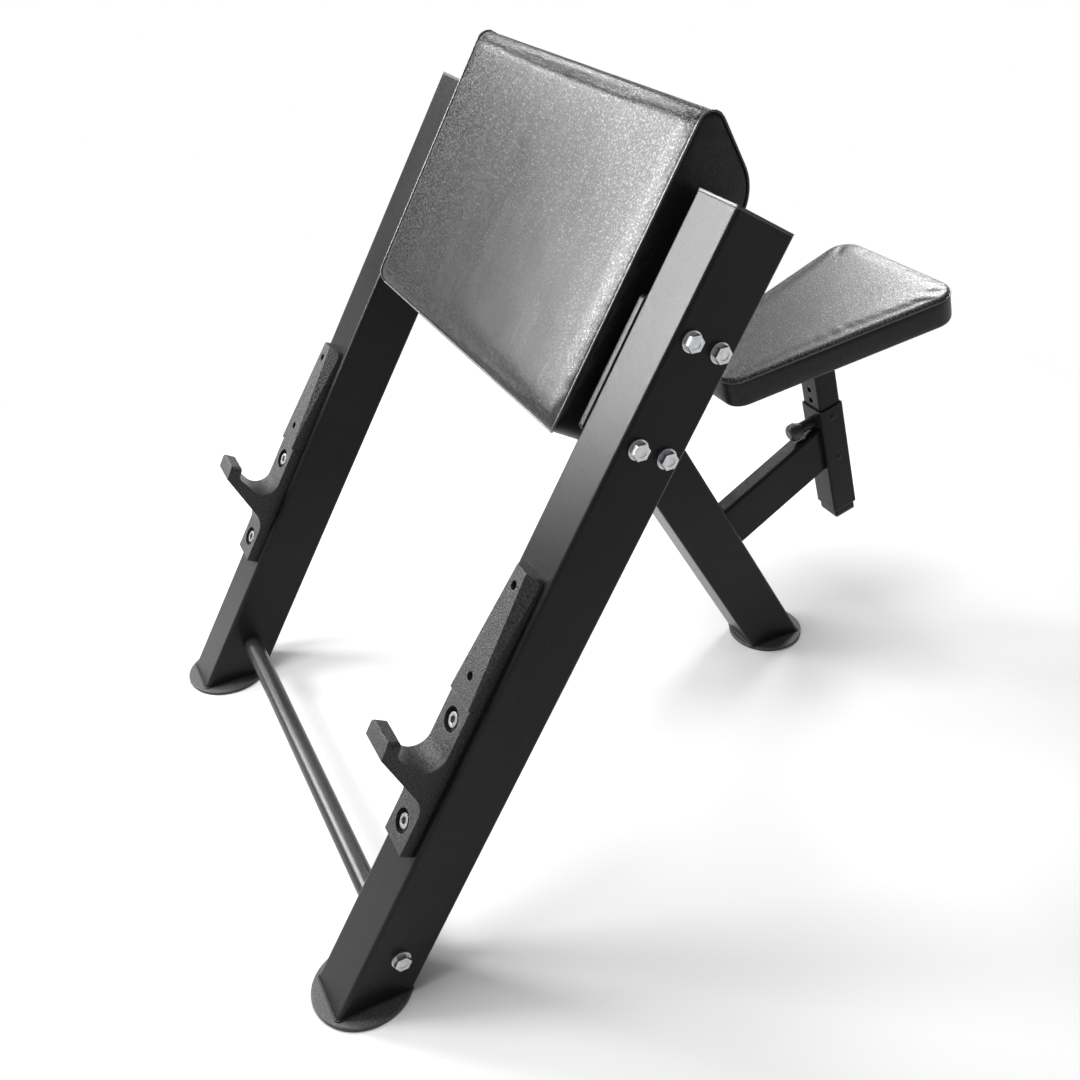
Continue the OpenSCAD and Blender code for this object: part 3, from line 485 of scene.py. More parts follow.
nodeFinishes = {
    "framePaint": [
        "upright", "crossbeam", "flange", "rear_leg", "seat_arm", "seat_sleeve", "seat_post",
        "seat_plate",
    ],
    "footPaint": ["foot_plate"],
    "castPaint": ["hook", "guard"],
    "rodPaint": ["foot_rod"],
    "blackPlastic": ["cap", "post_plug", "pin_knob"],
    "soleRubber": ["sole"],
    "zincPlate": [
        "beam_bolts", "beam_washers", "beam_nuts", "rod_bolt", "rod_washer", "pad_bolts",
        "seat_screws",
    ],
    "dullZinc": ["hook_bolts", "guard_screws"],
    "brightSteel": ["pull_pin", "pin_spring"],
    "blackSteel": ["pin_barrel", "set_screw"],
    "padVinyl": ["arm_pad"],
    "seatVinyl": ["seat_cushion"],
    "birchPly": ["pad_board", "seat_board"],
}
nodeEndings = ["", "_left", "_right", "_rear", "_upper", "_lower"]


def paint(piece, material):
    if piece.material_slots:
        for materialSlot in piece.material_slots:
            materialSlot.material = material
    else:
        piece.data.materials.append(material)


for finishName, parts in nodeFinishes.items():
    for nodeName in [part + ending for part in parts for ending in nodeEndings]:
        if nodeName in frame["nodes"]:
            paint(frame["nodes"][nodeName], materials[finishName])
print("frame painted")

# Directions on the bench: up the uprights' front faces and in behind them, and up the seat
# post and in behind it

benchPlaces = {"leanDeg": 30.0, "postLeanDeg": 15.0}
acrossBench = Vector((1, 0, 0))
lean = math.radians(benchPlaces["leanDeg"])
postLean = math.radians(benchPlaces["postLeanDeg"])
alongSlope = Vector((0, math.sin(lean), math.cos(lean)))
intoSlope = Vector((0, math.cos(lean), -math.sin(lean)))
alongPost = Vector((0, -math.sin(postLean), math.cos(postLean)))
behindPost = Vector((0, math.cos(postLean), math.sin(postLean)))


def reach(nodeName, direction):
    # How far a node of the frame reaches along a direction, in millimetres
    vertices = frame["nodes"][nodeName].data.vertices
    places = [1000 * vertex.co.dot(direction) for vertex in vertices]
    return min(places), max(places)


# The slope starts at the floor line below the uprights' front faces
slopeFront = reach("upright_left", intoSlope)[0]
slopeFoot = slopeFront * math.tan(lean)
slopeStart = slopeFront * intoSlope + slopeFoot * alongSlope


def onSlope(x, depth, height):
    # A point across the bench, behind the uprights' front faces and up them, in millimetres
    return (slopeStart + Vector((x, 0, 0)) + depth * intoSlope + height * alongSlope) / 1000


def arcPoints(centre, radius, fromDeg, toDeg, count):
    points = []
    for step in range(count + 1):
        angle = math.radians(fromDeg + (toDeg - fromDeg) * step / count)
        points.append(
            (centre[0] + radius * math.cos(angle), centre[1] + radius * math.sin(angle))
        )
    return points


def evenPoints(points, spacing, closed=True):
    # The same line with points at even spacing
    line = [Vector(point) for point in points]
    if closed:
        line.append(line[0])
    runs = [0.0]
    for before, after in zip(line, line[1:]):
        runs.append(runs[-1] + (after - before).length)
    count = max(3, round(runs[-1] / spacing))
    made = []
    index = 0
    for step in range(count if closed else count + 1):
        want = runs[-1] * step / count
        while index < len(runs) - 2 and runs[index + 1] < want:
            index += 1
        span = runs[index + 1] - runs[index]
        share = (want - runs[index]) / span if span else 0.0
        made.append(line[index].lerp(line[index + 1], share))
    return made


def makePiece(name, points, faces, material, body):
    mesh = bpy.data.meshes.new(name)
    mesh.from_pydata([tuple(point) for point in points], [], faces)
    mesh.update()
    for face in mesh.polygons:
        face.use_smooth = True
    piece = bpy.data.objects.new(name, mesh)
    scene.collection.objects.link(piece)
    mesh.materials.append(material)
    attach(piece, body)
    return piece


def ringFaces(ringCount, ringSize, closed=False):
    faces = []
    for ring in range(ringCount if closed else ringCount - 1):
        low = ring * ringSize
        high = (ring + 1) % ringCount * ringSize
        for index in range(ringSize):
            following = (index + 1) % ringSize
            faces.append((low + index, low + following, high + following, high + index))
    return faces


def capFaces(ringCount, ringSize):
    # Fans from the first and the last ring to the two points that come after the rings
    firstPoint = ringCount * ringSize
    lastRing = firstPoint - ringSize
    faces = []
    for index in range(ringSize):
        following = (index + 1) % ringSize
        faces.append((firstPoint, following, index))
        faces.append((firstPoint + 1, lastRing + index, lastRing + following))
    return faces


def makeTube(name, line, radius, material, body, sides=10, closed=False):
    # A round cord along a line of points
    count = len(line)
    points = []
    previousSide = None
    for index, point in enumerate(line):
        if closed:
            direction = line[(index + 1) % count] - line[index - 1]
        else:
            direction = line[min(index + 1, count - 1)] - line[max(index - 1, 0)]
        direction.normalize()
        side = previousSide or direction.orthogonal()
        side = (side - direction * side.dot(direction)).normalized()
        previousSide = side
        other = direction.cross(side)
        for turn in range(sides):
            angle = 2 * math.pi * turn / sides
            points.append(point + radius * (math.cos(angle) * side + math.sin(angle) * other))
    faces = ringFaces(count, sides, closed)
    if not closed:
        faces.append(tuple(range(sides - 1, -1, -1)))
        faces.append(tuple(range((count - 1) * sides, count * sides)))
    return makePiece(name, points, faces, material, body)


def shareOf(value, low, high):
    # 0 below low, 1 above high, and an even rise between them
    return max(0.0, min(1.0, (value - low) / (high - low)))


# Upholstery: the cover is sewn at its seams and filled by a cloth simulation

stuffing = {
    "frames": 12,
    "shoulderMm": 17.0,
    "cloth": {
        "quality": 5, "mass": 0.25, "tension_stiffness": 18.0, "compression_stiffness": 18.0,
        "shear_stiffness": 8.0, "bending_stiffness": 2.0, "shrink_min": -0.002,
        "use_pressure": True, "uniform_pressure_force": 9.0,
    },
}


def stuffCover(piece, sewn, roomMm, settings):
    # Fill the cover: the foam inside lets no point move inwards, and the cover no point
    # further out than the room that it has
    start = [vertex.co.copy() for vertex in piece.data.vertices]
    normals = [vertex.normal.copy() for vertex in piece.data.vertices]
    group = piece.vertex_groups.new(name="sewn")
    group.add(sewn, 1.0, "REPLACE")
    modifier = piece.modifiers.new("stuffing", "CLOTH")
    cloth = modifier.settings
    for name, value in settings["cloth"].items():
        setattr(cloth, name, value)
    cloth.vertex_group_mass = "sewn"
    cloth.effector_weights.gravity = 0
    modifier.collision_settings.use_collision = False
    modifier.point_cache.frame_start = 1
    modifier.point_cache.frame_end = settings["frames"]
    for moment in range(1, settings["frames"] + 1):
        scene.frame_set(moment)
    filled = piece.evaluated_get(bpy.context.evaluated_depsgraph_get()).to_mesh()
    places = [vertex.co.copy() for vertex in filled.vertices]
    piece.evaluated_get(bpy.context.evaluated_depsgraph_get()).to_mesh_clear()
    piece.modifiers.remove(modifier)
    piece.vertex_groups.remove(group)
    scene.frame_set(1)
    widest = 0.0
    for index, room in enumerate(roomMm):
        rise = 1000 * (places[index] - start[index]).dot(normals[index])
        widest = max(widest, rise)
        if room > 0 and rise > 0:
            rise = room * math.tanh(rise / room)
            piece.data.vertices[index].co = start[index] + normals[index] * (rise / 1000)
    print(piece.name, "filled, widest rise", round(widest, 1), "mm")


def setBand(piece, inBand):
    # Painted shade: the sides of a cushion get a darker, plainer copy of the cover vinyl than
    # its top
    piece.data.materials.append(materials["shadedSideVinyl"])
    piece.data.polygons.foreach_set("material_index", [int(value) for value in inBand])


def refineCover(piece, sharp):
    # One subdivision, with the edges along the seams kept sharp
    mesh = piece.data
    crease = mesh.attributes.new("crease_edge", "FLOAT", "EDGE")
    kept = [float(all(index in sharp for index in edge.vertices)) for edge in mesh.edges]
    crease.data.foreach_set("value", kept)
    modifier = piece.modifiers.new("rounder", "SUBSURF")
    modifier.levels = 1
    modifier.render_levels = 1
    modifier.use_limit_surface = False
    bpy.context.view_layer.update()
    shown = piece.evaluated_get(bpy.context.evaluated_depsgraph_get())
    piece.data = bpy.data.meshes.new_from_object(shown)
    piece.modifiers.remove(modifier)
    piece.data.name = piece.name
    for face in piece.data.polygons:
        face.use_smooth = True


def sewDown(piece, seam, settings, held):
    # A dip along the seam, with small puckers beside it and soft creases further off, and
    # nothing where the cover is held
    tree = kdtree.KDTree(len(seam))
    for index, place in enumerate(seam):
        tree.insert(place, index)
    tree.balance()
    mesh = piece.data
    normals = [vertex.normal.copy() for vertex in mesh.vertices]
    for vertex, normal in zip(mesh.vertices, normals):
        if held(vertex.co):
            continue
        distance = 1000 * tree.find(vertex.co)[2]
        near = math.exp(-((distance / settings["puckerReachMm"]) ** 2))
        soft = noise.noise(vertex.co * 1000 / settings["creaseSizeMm"])
        fine = noise.noise(vertex.co * 1000 / settings["puckerSizeMm"])
        rise = settings["creaseMm"] * soft * (1 - near) + settings["puckerMm"] * fine * near
        rise *= shareOf(distance, *settings["calmMm"])
        rise -= settings["seamDipMm"] * math.exp(-((distance / settings["seamReachMm"]) ** 2))
        vertex.co += normal * (rise / 1000)
    mesh.update()


def turnOutward(points, faces, middle, samples=200):
    # Faces in the order that makes their normals point away from the middle
    outward = 0
    for face in faces[:: max(1, len(faces) // samples)]:
        first, second, third = (points[index] for index in face[:3])
        normal = (second - first).cross(third - second)
        outward += 1 if normal.dot(first - middle) > 0 else -1
    if outward > 0:
        return faces
    return [tuple(reversed(face)) for face in faces]


# Arm pad

armPad = {
    "proudMm": 14.5,
    "topRadiusMm": 17.0,
    "raiseMm": 3.0,
    "lowRadiusMm": 16.0,
    "backRadiusMm": 12.0,
    "underRadiusMm": 20.0,
    "rollRadiusMm": 54.0,
    "rollDepthMm": 49.5,
    "topDeg": 58.5,
    "underDeg": -60.0,
    "cornerRadiusMm": 20.0,
    "spacingMm": 7.0,
    "arcSteps": {"front": 10, "top": 24, "roll": 40, "under": 16, "back": 12, "low": 6},
    "sideSteps": 13,
    "sideCrowding": 1.4,
    "sideMiddleMm": (-10.0, -30.0),
    "sideMiddleShare": 0.04,
    "rollFromMm": -30.0,
    "rollToMm": 25.0,
    "beamNearMm": 8.0,
    "beamAboveMm": 6.0,
    "seamDeg": 242.0,
    "panelRoomMm": 3.2,
    "boxRoomMm": 3.0,
    "rollRoomMm": 4.5,
    "seamDipMm": 1.4,
    "seamReachMm": 2.6,
    "pipingRadiusMm": 1.5,
    "creaseMm": 0.3,
    "creaseSizeMm": 60.0,
    "puckerMm": 0.45,
    "puckerSizeMm": 13.0,
    "puckerReachMm": 26.0,
    "calmMm": (0.5, 6.0),
    "pipingStepMm": 2.5,
    "fill": 0.9,
}


def padOutline(pad, low, high, back):
    # Side of the pad, from the seam side of its front edge over the roll and down the back
    top, rolled, under = pad["topRadiusMm"], pad["rollRadiusMm"], pad["underRadiusMm"]
    lowRadius, backRadius = pad["lowRadiusMm"], pad["backRadiusMm"]
    topCentre = Vector((-pad["proudMm"] + top, high - top))
    lowCentre = Vector((-pad["proudMm"] + lowRadius, low + lowRadius))
    backCentre = (back - backRadius, low + backRadius)
    over, below = (
        Vector((math.cos(angle), math.sin(angle)))
        for angle in (math.radians(pad["topDeg"]), math.radians(pad["underDeg"]))
    )
    rollDepth = -pad["proudMm"] + pad["rollDepthMm"]
    rollHeight = (topCentre.dot(over) + top - rolled - rollDepth * over.x) / over.y
    rollCentre = Vector((rollDepth, rollHeight))
    underDepth = back + under
    underHeight = (rollCentre.dot(below) + rolled + under - underDepth * below.x) / below.y
    seam, turn = pad["seamDeg"], pad["underDeg"]
    steps = pad["arcSteps"]
    front = (
        arcPoints(lowCentre, lowRadius, seam, 180, steps["front"])
        + arcPoints(topCentre, top, 180, pad["topDeg"], steps["top"])
        + arcPoints(rollCentre, rolled, pad["topDeg"], turn, steps["roll"])
        + arcPoints((underDepth, underHeight), under, 180 + turn, 180, steps["under"])
    )
    lower = arcPoints(backCentre, backRadius, 0, -90, steps["back"])
    lower += arcPoints(lowCentre, lowRadius, 270, seam, steps["low"])
    return front, lower, rollCentre, underHeight


def makeArmPad(pad):
    low, high = (value - slopeFoot for value in reach("arm_pad", alongSlope))
    high += pad["raiseMm"]
    half = reach("arm_pad", acrossBench)[1]
    back = reach("crossbeam", intoSlope)[0] - slopeFront
    front, lower, rollCentre, underHeight = padOutline(pad, low, high, back)
    spacing = pad["spacingMm"]
    seamed = evenPoints(front, spacing, closed=False)
    outline = seamed[:-1] + evenPoints([front[-1]] + lower, spacing, closed=False)[:-1]
    size = len(outline)
    corner = pad["cornerRadiusMm"]
    eye = rollCentre + Vector(pad["sideMiddleMm"])
    eyeShare, crowding = pad["sideMiddleShare"], pad["sideCrowding"]

    def sideAt(height):
        # Half width of the pad at a height: its lower corners are rounded
        inside = corner - (height - low)
        if inside <= 0:
            return half
        return half - corner + math.sqrt(max(0.0, corner * corner - inside * inside))

    rings = []
    for step in range(pad["sideSteps"]):
        share = 1 - (1 - step / pad["sideSteps"]) ** crowding
        share = eyeShare + (1 - eyeShare) * share
        scaled = [eye + share * (point - eye) for point in outline]
        rings.append([(-sideAt(place.y), place.x, place.y) for place in scaled])
    steps = round(2 * half / spacing)
    for step in range(steps + 1):
        across = -1 + 2 * step / steps
        rings.append([(across * sideAt(point.y), point.x, point.y) for point in outline])
    rings += [[(-x, depth, height) for x, depth, height in ring]
              for ring in reversed(rings[:pad["sideSteps"]])]
    first, last = pad["sideSteps"], pad["sideSteps"] + steps

    flat = [place for ring in rings for place in ring]
    flat += [(-half, eye.x, eye.y), (half, eye.x, eye.y)]
    points = [onSlope(*place) for place in flat]
    faces = ringFaces(len(rings), size) + capFaces(len(rings), size)
    faces = turnOutward(points, faces, onSlope(0, eye.x, eye.y))
    piece = makePiece("armPadCushion", points, faces, materials["padVinyl"], "frame")
    ringCount = len(rings) - 1
    setBand(piece, [
        index >= ringCount * size or not first <= index // size < last
        for index in range(len(faces))
    ])

    # The seam runs up one side, over the roll and down the back, and across the lower edge
    seamCount = len(seamed)
    leftSeam = [first * size + index for index in range(seamCount)]
    rightSeam = [last * size + index for index in range(seamCount)]
    lowerSeam = [ring * size for ring in range(first, last + 1)]
    sharp = set(leftSeam + rightSeam + lowerSeam)
    sewn = set(sharp)
    rooms = []
    for index, (x, depth, height) in enumerate(flat):
        ring, place = index // size, index % size
        onBeam = depth > back - pad["beamNearMm"] and height < underHeight + pad["beamAboveMm"]
        if onBeam or index in sewn:
            sewn.add(index)
            rooms.append(0.0)
        elif first < ring < last and place < seamCount:
            away = shareOf(depth - rollCentre.x, pad["rollFromMm"], pad["rollToMm"])
            rooms.append(pad["panelRoomMm"] * (1 - away) + pad["rollRoomMm"] * away)
        else:
            rooms.append(pad["boxRoomMm"])
    stuffCover(piece, sorted(sewn), rooms, stuffing)
    refineCover(piece, sharp)
    seam = [points[index] for index in reversed(leftSeam)]
    seam += [points[index] for index in lowerSeam[1:-1] + rightSeam]
    line = evenPoints(seam, pad["pipingStepMm"] / 1000, closed=False)
    beamDepth, beamHeight = back - pad["beamNearMm"] / 2, underHeight

    def onTheBeam(place):
        depth = 1000 * place.dot(intoSlope) - slopeFront
        return depth > beamDepth and 1000 * place.dot(alongSlope) - slopeFoot < beamHeight

    sewDown(piece, line, pad, onTheBeam)
    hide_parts("arm_pad")
    makeTube(
        "armPadPiping", line, pad["pipingRadiusMm"] / 1000, materials["highlitPipingVinyl"],
        "frame",
    )


makeArmPad(armPad)
print("arm pad made")

# Seat cushion

seatCushion = {
    "frontWidthMm": 138.0,
    "backWidthMm": 279.0,
    "lengthMm": 373.0,
    "shiftMm": -6.0,
    "frontRadiusMm": 30.0,
    "backRadiusMm": 36.0,
    "frontSteps": 14,
    "backSteps": 16,
    "thickMm": 50.0,
    "boardInMm": 12.0,
    "boardMm": 15.0,
    "spacingMm": 7.0,
    "seamHeightMm": 43.5,
    "edgeRadiusMm": 7.0,
    "topSteps": 20,
    "sideSteps": 5,
    "edgeSteps": 4,
    "boardLiftMm": 0.4,
    "underRowsMm": ((8.0, -0.1), (4.0, 0.8), (1.6, 3.2), (1.0, 8.0)),
    "heldRows": 3,
    "heldMm": 4.0,
    "panelRoomMm": 3.2,
    "boxRoomMm": 2.0,
    "seamDipMm": 1.1,
    "seamReachMm": 2.4,
    "pipingRadiusMm": 1.2,
    "creaseMm": 0.15,
    "creaseSizeMm": 45.0,
    "puckerMm": 0.14,
    "puckerSizeMm": 12.0,
    "puckerReachMm": 22.0,
    "calmMm": (0.5, 6.0),
    "pipingStepMm": 2.5,
    "fill": 0.8,
}


def seatOutline(seat):
    # Plan of the seat: narrow at the front, wide at the back
    length = seat["lengthMm"]
    front, back = seat["frontRadiusMm"], seat["backRadiusMm"]
    frontSteps, backSteps = seat["frontSteps"], seat["backSteps"]
    slope = math.atan((seat["backWidthMm"] - seat["frontWidthMm"]) / 2 / length)
    side = Vector((math.cos(slope), -math.sin(slope)))
    sideReach = Vector((seat["backWidthMm"] / 2, length / 2)).dot(side)
    frontY, backY = -length / 2 + front, length / 2 - back
    frontX = (sideReach - front - frontY * side.y) / side.x
    backX = (sideReach - back - backY * side.y) / side.x
    turn = math.degrees(slope)
    return (
        arcPoints((frontX, frontY), front, -90, -turn, frontSteps)
        + arcPoints((backX, backY), back, -turn, 90, backSteps)
        + arcPoints((-backX, backY), back, 90, 180 + turn, backSteps)
        + arcPoints((-frontX, frontY), front, 180 + turn, 270, frontSteps)
    )


def makeSeatCushion(seat):
    thick, seamHeight = seat["thickMm"], seat["seamHeightMm"]
    underside = reach("seat_cushion", alongPost)[0]
    depth = sum(reach("seat_sleeve", behindPost)) / 2 + seat["shiftMm"]
    base = [Vector(point) for point in evenPoints(seatOutline(seat), seat["spacingMm"])]
    size = len(base)

    def ringAt(inset, height, share=1.0):
        # The outline drawn in along its own normals, then scaled about the middle
        ring = []
        for index, point in enumerate(base):
            tangent = (base[(index + 1) % size] - base[index - 1]).normalized()
            place = point + inset * Vector((-tangent.y, tangent.x))
            ring.append((share * place.x, share * place.y, height))
        return ring

    rows = [(seat["boardInMm"], seat["boardMm"]), (seat["boardInMm"], seat["boardLiftMm"])]
    rows += seat["underRowsMm"]
    inset, start = rows[-1]
    for step in range(1, seat["sideSteps"]):
        rows.append((inset, start + (seamHeight - start) * step / seat["sideSteps"]))
    seamRow = len(rows)
    rows.append((inset, seamHeight))
    edge = seat["edgeRadiusMm"]
    rise = thick - seamHeight
    for step in range(1, seat["edgeSteps"] + 1):
        angle = math.radians(90 * step / seat["edgeSteps"])
        rows.append((inset + edge * (1 - math.cos(angle)), seamHeight + rise * math.sin(angle)))
    rings = [ringAt(*row) for row in rows]
    for step in range(1, seat["topSteps"]):
        rings.append(ringAt(inset + edge, thick, 1 - step / seat["topSteps"]))

    flat = [place for ring in rings for place in ring]
    flat += [(0, 0, seat["boardMm"]), (0, 0, thick)]
    points = [
        (x * acrossBench + (depth + y) * behindPost + (underside + height) * alongPost) / 1000
        for x, y, height in flat
    ]
    faces = ringFaces(len(rings), size) + capFaces(len(rings), size)
    middle = (depth * behindPost + (underside + thick / 2) * alongPost) / 1000
    faces = turnOutward(points, faces, middle)
    piece = makePiece("seatPadCushion", points, faces, materials["seatVinyl"], "seat")
    capStart = (len(rings) - 1) * size
    setBand(piece, [
        index // size < seamRow if index < capStart else (index - capStart) % 2 == 0
        for index in range(len(faces))
    ])

    sewn, rooms = [], []
    for index in range(len(flat)):
        row = index // size
        if row < seat["heldRows"] or row == seamRow or index == len(flat) - 2:
            sewn.append(index)
            rooms.append(0.0)
        elif row < seamRow:
            rooms.append(seat["boxRoomMm"])
        else:
            rooms.append(seat["panelRoomMm"])
    stuffCover(piece, sewn, rooms, stuffing)
    seamPoints = range(seamRow * size, (seamRow + 1) * size)
    refineCover(piece, set(seamPoints))
    seam = [points[index] for index in seamPoints]
    line = evenPoints(seam, seat["pipingStepMm"] / 1000)

    def onTheBoard(place):
        return 1000 * place.dot(alongPost) - underside < seat["heldMm"]

    sewDown(piece, line, seat, onTheBoard)
    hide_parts("seat_cushion")
    makeTube(
        "seatPadPiping", line, seat["pipingRadiusMm"] / 1000, materials["highlitPipingVinyl"],
        "seat", closed=True,
    )


makeSeatCushion(seatCushion)
print("seat cushion made")

# Welds: rippled beads round the joints of the frame's tubes

welds = {
    "footBeadMm": 1.7,
    "armBeadMm": 3.0,
    "beamBeadMm": 2.4,
    "ripple": 0.16,
    "rippleMm": 4.6,
    "wobbleMm": 0.35,
    "wobbleScale": 140.0,
    "sides": 8,
    "cornerMm": 5.0,
    "nearMm": 0.5,
    "spacingMm": 1.2,
}


def roundedLoop(corners, radius, steps=4):
    # A closed line through the corners of a rectangle in space, with rounded corners
    line = []
    count = len(corners)
    for index, corner in enumerate(corners):
        before = (corners[index - 1] - corner).normalized() * radius
        after = (corners[(index + 1) % count] - corner).normalized() * radius
        for step in range(steps + 1):
            share = step / steps
            line.append(corner + (1 - share) ** 2 * before + share ** 2 * after)
    return line


def makeWeld(name, corners, bead, body, settings):
    # A rippled bead round the joint of two tubes
    loop = roundedLoop(corners, settings["cornerMm"] / 1000)
    line = evenPoints(loop, settings["spacingMm"] / 1000)
    middle = sum(corners, Vector()) / len(corners)
    count = len(line)
    points = []
    sides = settings["sides"]
    turns = max(1, round(count * settings["spacingMm"] / settings["rippleMm"]))
    normal = (corners[1] - corners[0]).cross(corners[2] - corners[1]).normalized()
    for index, place in enumerate(line):
        along = (line[(index + 1) % count] - line[index - 1]).normalized()
        outward = along.cross(normal).normalized()
        if outward.dot(place - middle) < 0:
            outward = -outward
        wave = 1 + settings["ripple"] * math.sin(2 * math.pi * turns * index / count)
        wobble = settings["wobbleMm"] * noise.noise(place * settings["wobbleScale"])
        for side in range(sides):
            angle = 2 * math.pi * side / sides
            reachOut = (bead * wave * math.cos(angle) + wobble) / 1000
            lift = bead * wave * math.sin(angle) / 1000
            points.append(place + reachOut * outward + lift * normal)
    faces = ringFaces(count, sides, closed=True)
    if turnOutward(points, faces[:sides], line[0])[0] != faces[0]:
        faces = [tuple(reversed(face)) for face in faces]
    return makePiece(name, points, faces, materials["weldPaint"], body)


def makeFootWelds(settings):
    # Round the foot of each upright and of the rear leg, on the foot plates
    for nodeName, weldName in (
        ("upright_left", "footWeldLeft"),
        ("upright_right", "footWeldRight"),
        ("rear_leg", "footWeldRear"),
    ):
        low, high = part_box(nodeName)
        foot = low[2]
        height = foot + settings["nearMm"] / 1000
        vertices = [v.co for v in frame["nodes"][nodeName].data.vertices if v.co.z < height]
        front = min(place.y for place in vertices)
        back = max(place.y for place in vertices)
        corners = [
            Vector((low[0], front, foot)), Vector((high[0], front, foot)),
            Vector((high[0], back, foot)), Vector((low[0], back, foot)),
        ]
        makeWeld(weldName, corners, settings["footBeadMm"], "frame", settings)


def makeFrameWelds(settings):
    # The seat arm on the rear leg, and the crossbeam on its flanges
    half = reach("seat_arm", acrossBench)[1]
    leanBack = Vector((0, -math.sin(lean), math.cos(lean)))
    behindLeg = Vector((0, math.cos(lean), math.sin(lean)))
    legBack = reach("rear_leg", behindLeg)[1]
    armLow, armHigh = reach("seat_arm", leanBack)
    corners = [
        (x * acrossBench + legBack * behindLeg + height * leanBack) / 1000
        for x, height in ((-half, armLow), (half, armLow), (half, armHigh), (-half, armHigh))
    ]
    makeWeld("armWeld", corners, settings["armBeadMm"], "frame", settings)
    beamFront, beamBack = reach("crossbeam", intoSlope)
    beamLow, beamHigh = reach("crossbeam", alongSlope)
    beamEnd = reach("crossbeam", acrossBench)[1]
    for side, weldName in ((-1, "beamWeldLeft"), (1, "beamWeldRight")):
        corners = [
            (side * beamEnd * acrossBench + depth * intoSlope + height * alongSlope) / 1000
            for depth, height in (
                (beamFront, beamLow), (beamBack, beamLow), (beamBack, beamHigh),
                (beamFront, beamHigh),
            )
        ]
        makeWeld(weldName, corners, settings["beamBeadMm"], "frame", settings)


makeFootWelds(welds)
makeFrameWelds(welds)
print("welds made")

# Return spring, which the pin's collar squeezes against the barrel's end when the pin is pulled;
# here the coil is made at one fixed length

returnSpring = {
    "wireMm": 1.2,
    "gapMm": 0.1,
    "turns": 4,
    "turnSteps": 20,
}


def makeSpring(spring):
    joint = next(joint for joint in frame["joints"] if joint["name"] == "pin_pull")
    pull = Vector(joint["axis"]).normalized()
    lowCorner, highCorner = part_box("pin_barrel")
    middle = (lowCorner + highCorner) / 2
    middle -= pull * middle.dot(pull)
    side = pull.orthogonal().normalized()
    other = pull.cross(side)
    wire = spring["wireMm"] / 2
    low, high = reach("pin_spring", pull)
    coil = reach("pin_spring", side)[1] - 1000 * middle.dot(side) - wire
    first = low + wire + spring["gapMm"]
    rise = high - wire - spring["gapMm"] - first
    steps = spring["turns"] * spring["turnSteps"]
    line = []
    for step in range(steps + 1):
        angle = 2 * math.pi * step / spring["turnSteps"]
        around = math.cos(angle) * side + math.sin(angle) * other
        along = (first + rise * step / steps) / 1000
        line.append(middle + pull * along + around * coil / 1000)
    piece = makeTube(
        "pinReturnSpring", line, wire / 1000, materials["brightSteel"], "frame",
        sides=8,
    )
    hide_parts("pin_spring")
    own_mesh(piece)


makeSpring(returnSpring)
print("return spring made")

# Floor, backdrop and light

studio = {
    "floorSize": 24.0,
    "floorCells": 12,
    "floorSeen": grey(0.35, 0.35),
    "floorLit": grey(0.32, 0.32),
    "backdropFrom": 0.9,
    "backdropTo": 1.8,
    "worldSeen": 1.0,
    "worldLit": 0.30,
    "floorShadeOf": [
        "upright_left", "upright_right", "foot_plate_left", "foot_plate_right",
        "foot_plate_rear", "seat_arm", "seat_sleeve", "seat_post", "seatPadCushion",
    ],
}


def makeFloor(settings):
    mesh = bpy.data.meshes.new("studioFloor")
    grid = bmesh.new()
    cells = settings["floorCells"]
    bmesh.ops.create_grid(
        grid, x_segments=cells, y_segments=cells, size=settings["floorSize"] / 2
    )
    grid.to_mesh(mesh)
    grid.free()
    floor = bpy.data.objects.new("studioFloor", mesh)
    scene.collection.objects.link(floor)
    material = bpy.data.materials.new("paleFloor")
    material.use_nodes = True
    tree = material.node_tree
    tree.nodes.clear()
    rays = addNode(tree, "ShaderNodeLightPath").outputs
    seen = mathNode(tree, "MAXIMUM", rays["Is Camera Ray"], rays["Is Glossy Ray"])
    seen = mathNode(tree, "MAXIMUM", seen, rays["Is Transmission Ray"])
    plain = addNode(tree, "ShaderNodeBsdfDiffuse", {"Color": (*settings["floorLit"], 1)})
    near = addNode(tree, "ShaderNodeBsdfDiffuse", {"Color": (*settings["floorSeen"], 1)})
    white = addNode(tree, "ShaderNodeEmission")
    place = addNode(tree, "ShaderNodeNewGeometry").outputs["Position"]
    away = addNode(
        tree, "ShaderNodeVectorMath", {0: place}, operation="LENGTH"
    ).outputs["Value"]
    backdrop = mapRange(tree, away, settings["backdropFrom"], settings["backdropTo"])
    shown = addNode(
        tree, "ShaderNodeMixShader", {0: backdrop, 1: near.outputs[0], 2: white.outputs[0]}
    )
    both = addNode(
        tree, "ShaderNodeMixShader", {0: seen, 1: plain.outputs[0], 2: shown.outputs[0]}
    )
    addNode(tree, "ShaderNodeOutputMaterial", {"Surface": both.outputs[0]})
    mesh.materials.append(material)


def makeWorld(settings):
    world = bpy.data.worlds.new("studioWorld")
    scene.world = world
    world.use_nodes = True
    tree = world.node_tree
    background = tree.nodes["Background"]
    background.inputs["Color"].default_value = (1, 1, 1, 1)
    rays = addNode(tree, "ShaderNodeLightPath").outputs
    seen = mathNode(tree, "MAXIMUM", rays["Is Camera Ray"], rays["Is Transmission Ray"])
    strength = mapRange(tree, seen, 0.0, 1.0, settings["worldLit"], settings["worldSeen"])
    tree.links.new(strength, background.inputs["Strength"])


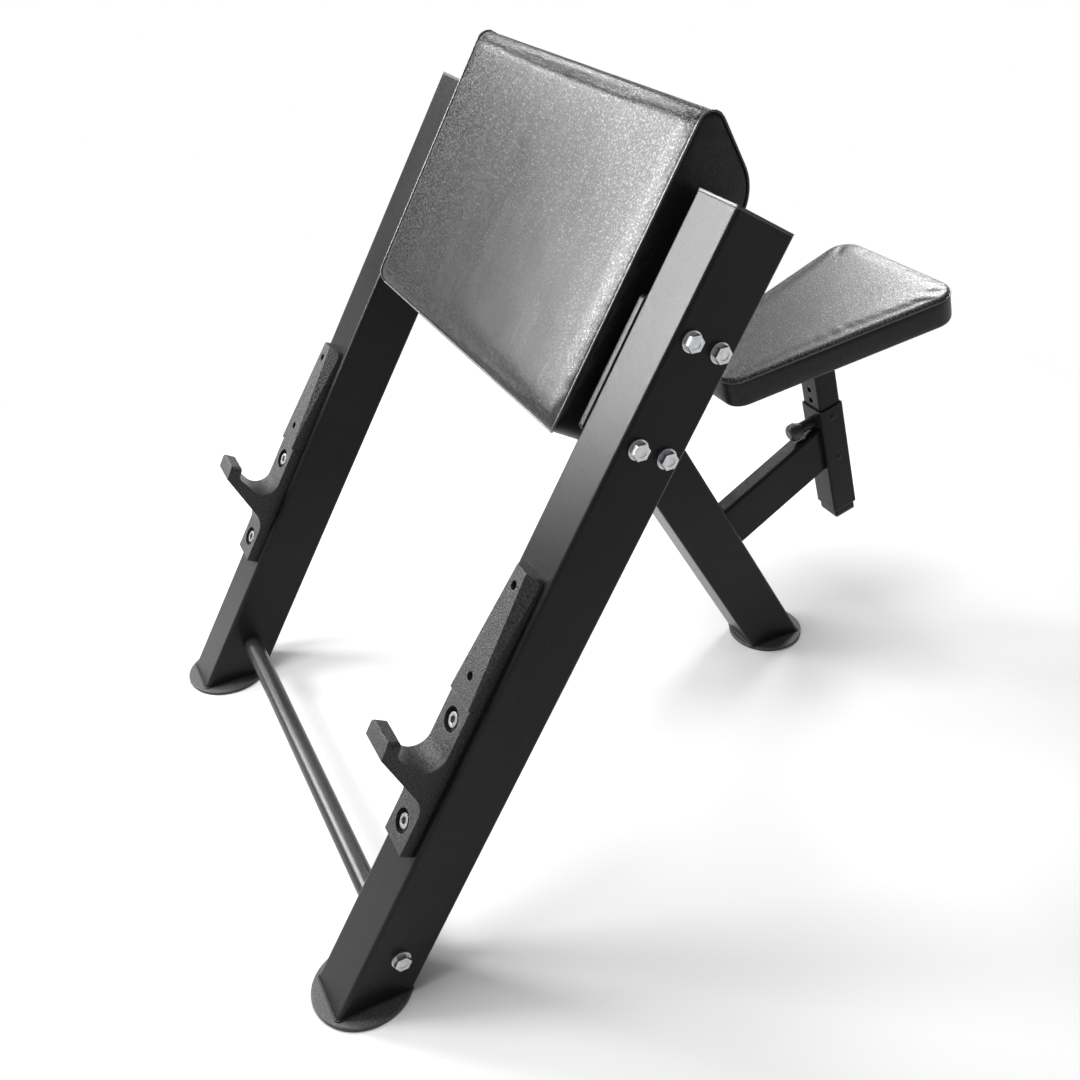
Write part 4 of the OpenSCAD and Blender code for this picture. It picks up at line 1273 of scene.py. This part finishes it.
# Each lamp: where it stands, what it faces, its width and height, and its brightness
lamps = {
    "topBox": {
        "place": (0.0, 0.0, 3.0), "aim": (0.0, 0.0, 0.0), "size": (2.2, 2.2), "bright": 2.2,
    },
    "floorBox": {
        "place": (0.0, 0.0, 3.2), "aim": (0.0, 0.0, 0.0), "size": (1.2, 1.2), "bright": 32.0,
    },
    "keyBox": {
        "place": (-1.47, -1.40, 1.55), "aim": (0.3, -0.05, 0.85), "size": (0.42, 1.15),
        "bright": 52.0, "turnDeg": 28.0,
    },
    "lowBox": {
        "place": (-1.38, -1.40, 0.74), "aim": (0.37, -0.3, 0.4), "size": (0.2, 0.45),
        "bright": 12.0,
    },
    "highBox": {
        "place": (-2.05, -0.80, 1.74), "aim": (-0.15, 0.25, 0.87), "size": (0.5, 0.3),
        "bright": 21.0,
    },
    "edgeBox": {
        "place": (-0.90, -1.88, 1.84), "aim": (0.3, -0.1, 0.85), "size": (0.6, 0.6),
        "bright": 62.0,
    },
    "rollBox": {
        "place": (-1.93, 0.20, 2.08), "aim": (0.0, 0.03, 1.0), "size": (0.9, 0.2),
        "bright": 24.0,
    },
    "backBox": {
        "place": (-1.32, 1.70, 2.14), "aim": (0.05, 0.45, 0.6), "size": (0.75, 0.75),
        "bright": 34.0,
    },
}


def makeLamps(settings):
    for name, lamp in settings.items():
        data = bpy.data.lights.new(name, "AREA")
        data.shape = "RECTANGLE"
        data.size, data.size_y = lamp["size"]
        data.energy = lamp["bright"] * math.pi * data.size * data.size_y
        light = bpy.data.objects.new(name, data)
        light.location = lamp["place"]
        direction = Vector(lamp["aim"]) - Vector(lamp["place"])
        light.rotation_mode = "QUATERNION"
        turn = Quaternion((0, 0, 1), math.radians(lamp.get("turnDeg", 0)))
        light.rotation_quaternion = direction.to_track_quat("-Z", "Y") @ turn
        scene.collection.objects.link(light)


def linkFloorLamp(settings):
    # The floor's own lamp lights only the floor, and the pieces close above it block it
    lit = bpy.data.collections.new("litFloor")
    lit.objects.link(scene.objects["studioFloor"])
    blocking = bpy.data.collections.new("floorShade")
    for name in settings["floorShadeOf"]:
        blocking.objects.link(scene.objects[name])
    lamp = scene.objects["floorBox"]
    lamp.light_linking.receiver_collection = lit
    lamp.light_linking.blocker_collection = blocking


makeFloor(studio)
makeWorld(studio)
makeLamps(lamps)
linkFloorLamp(studio)
print("floor and lamps placed")
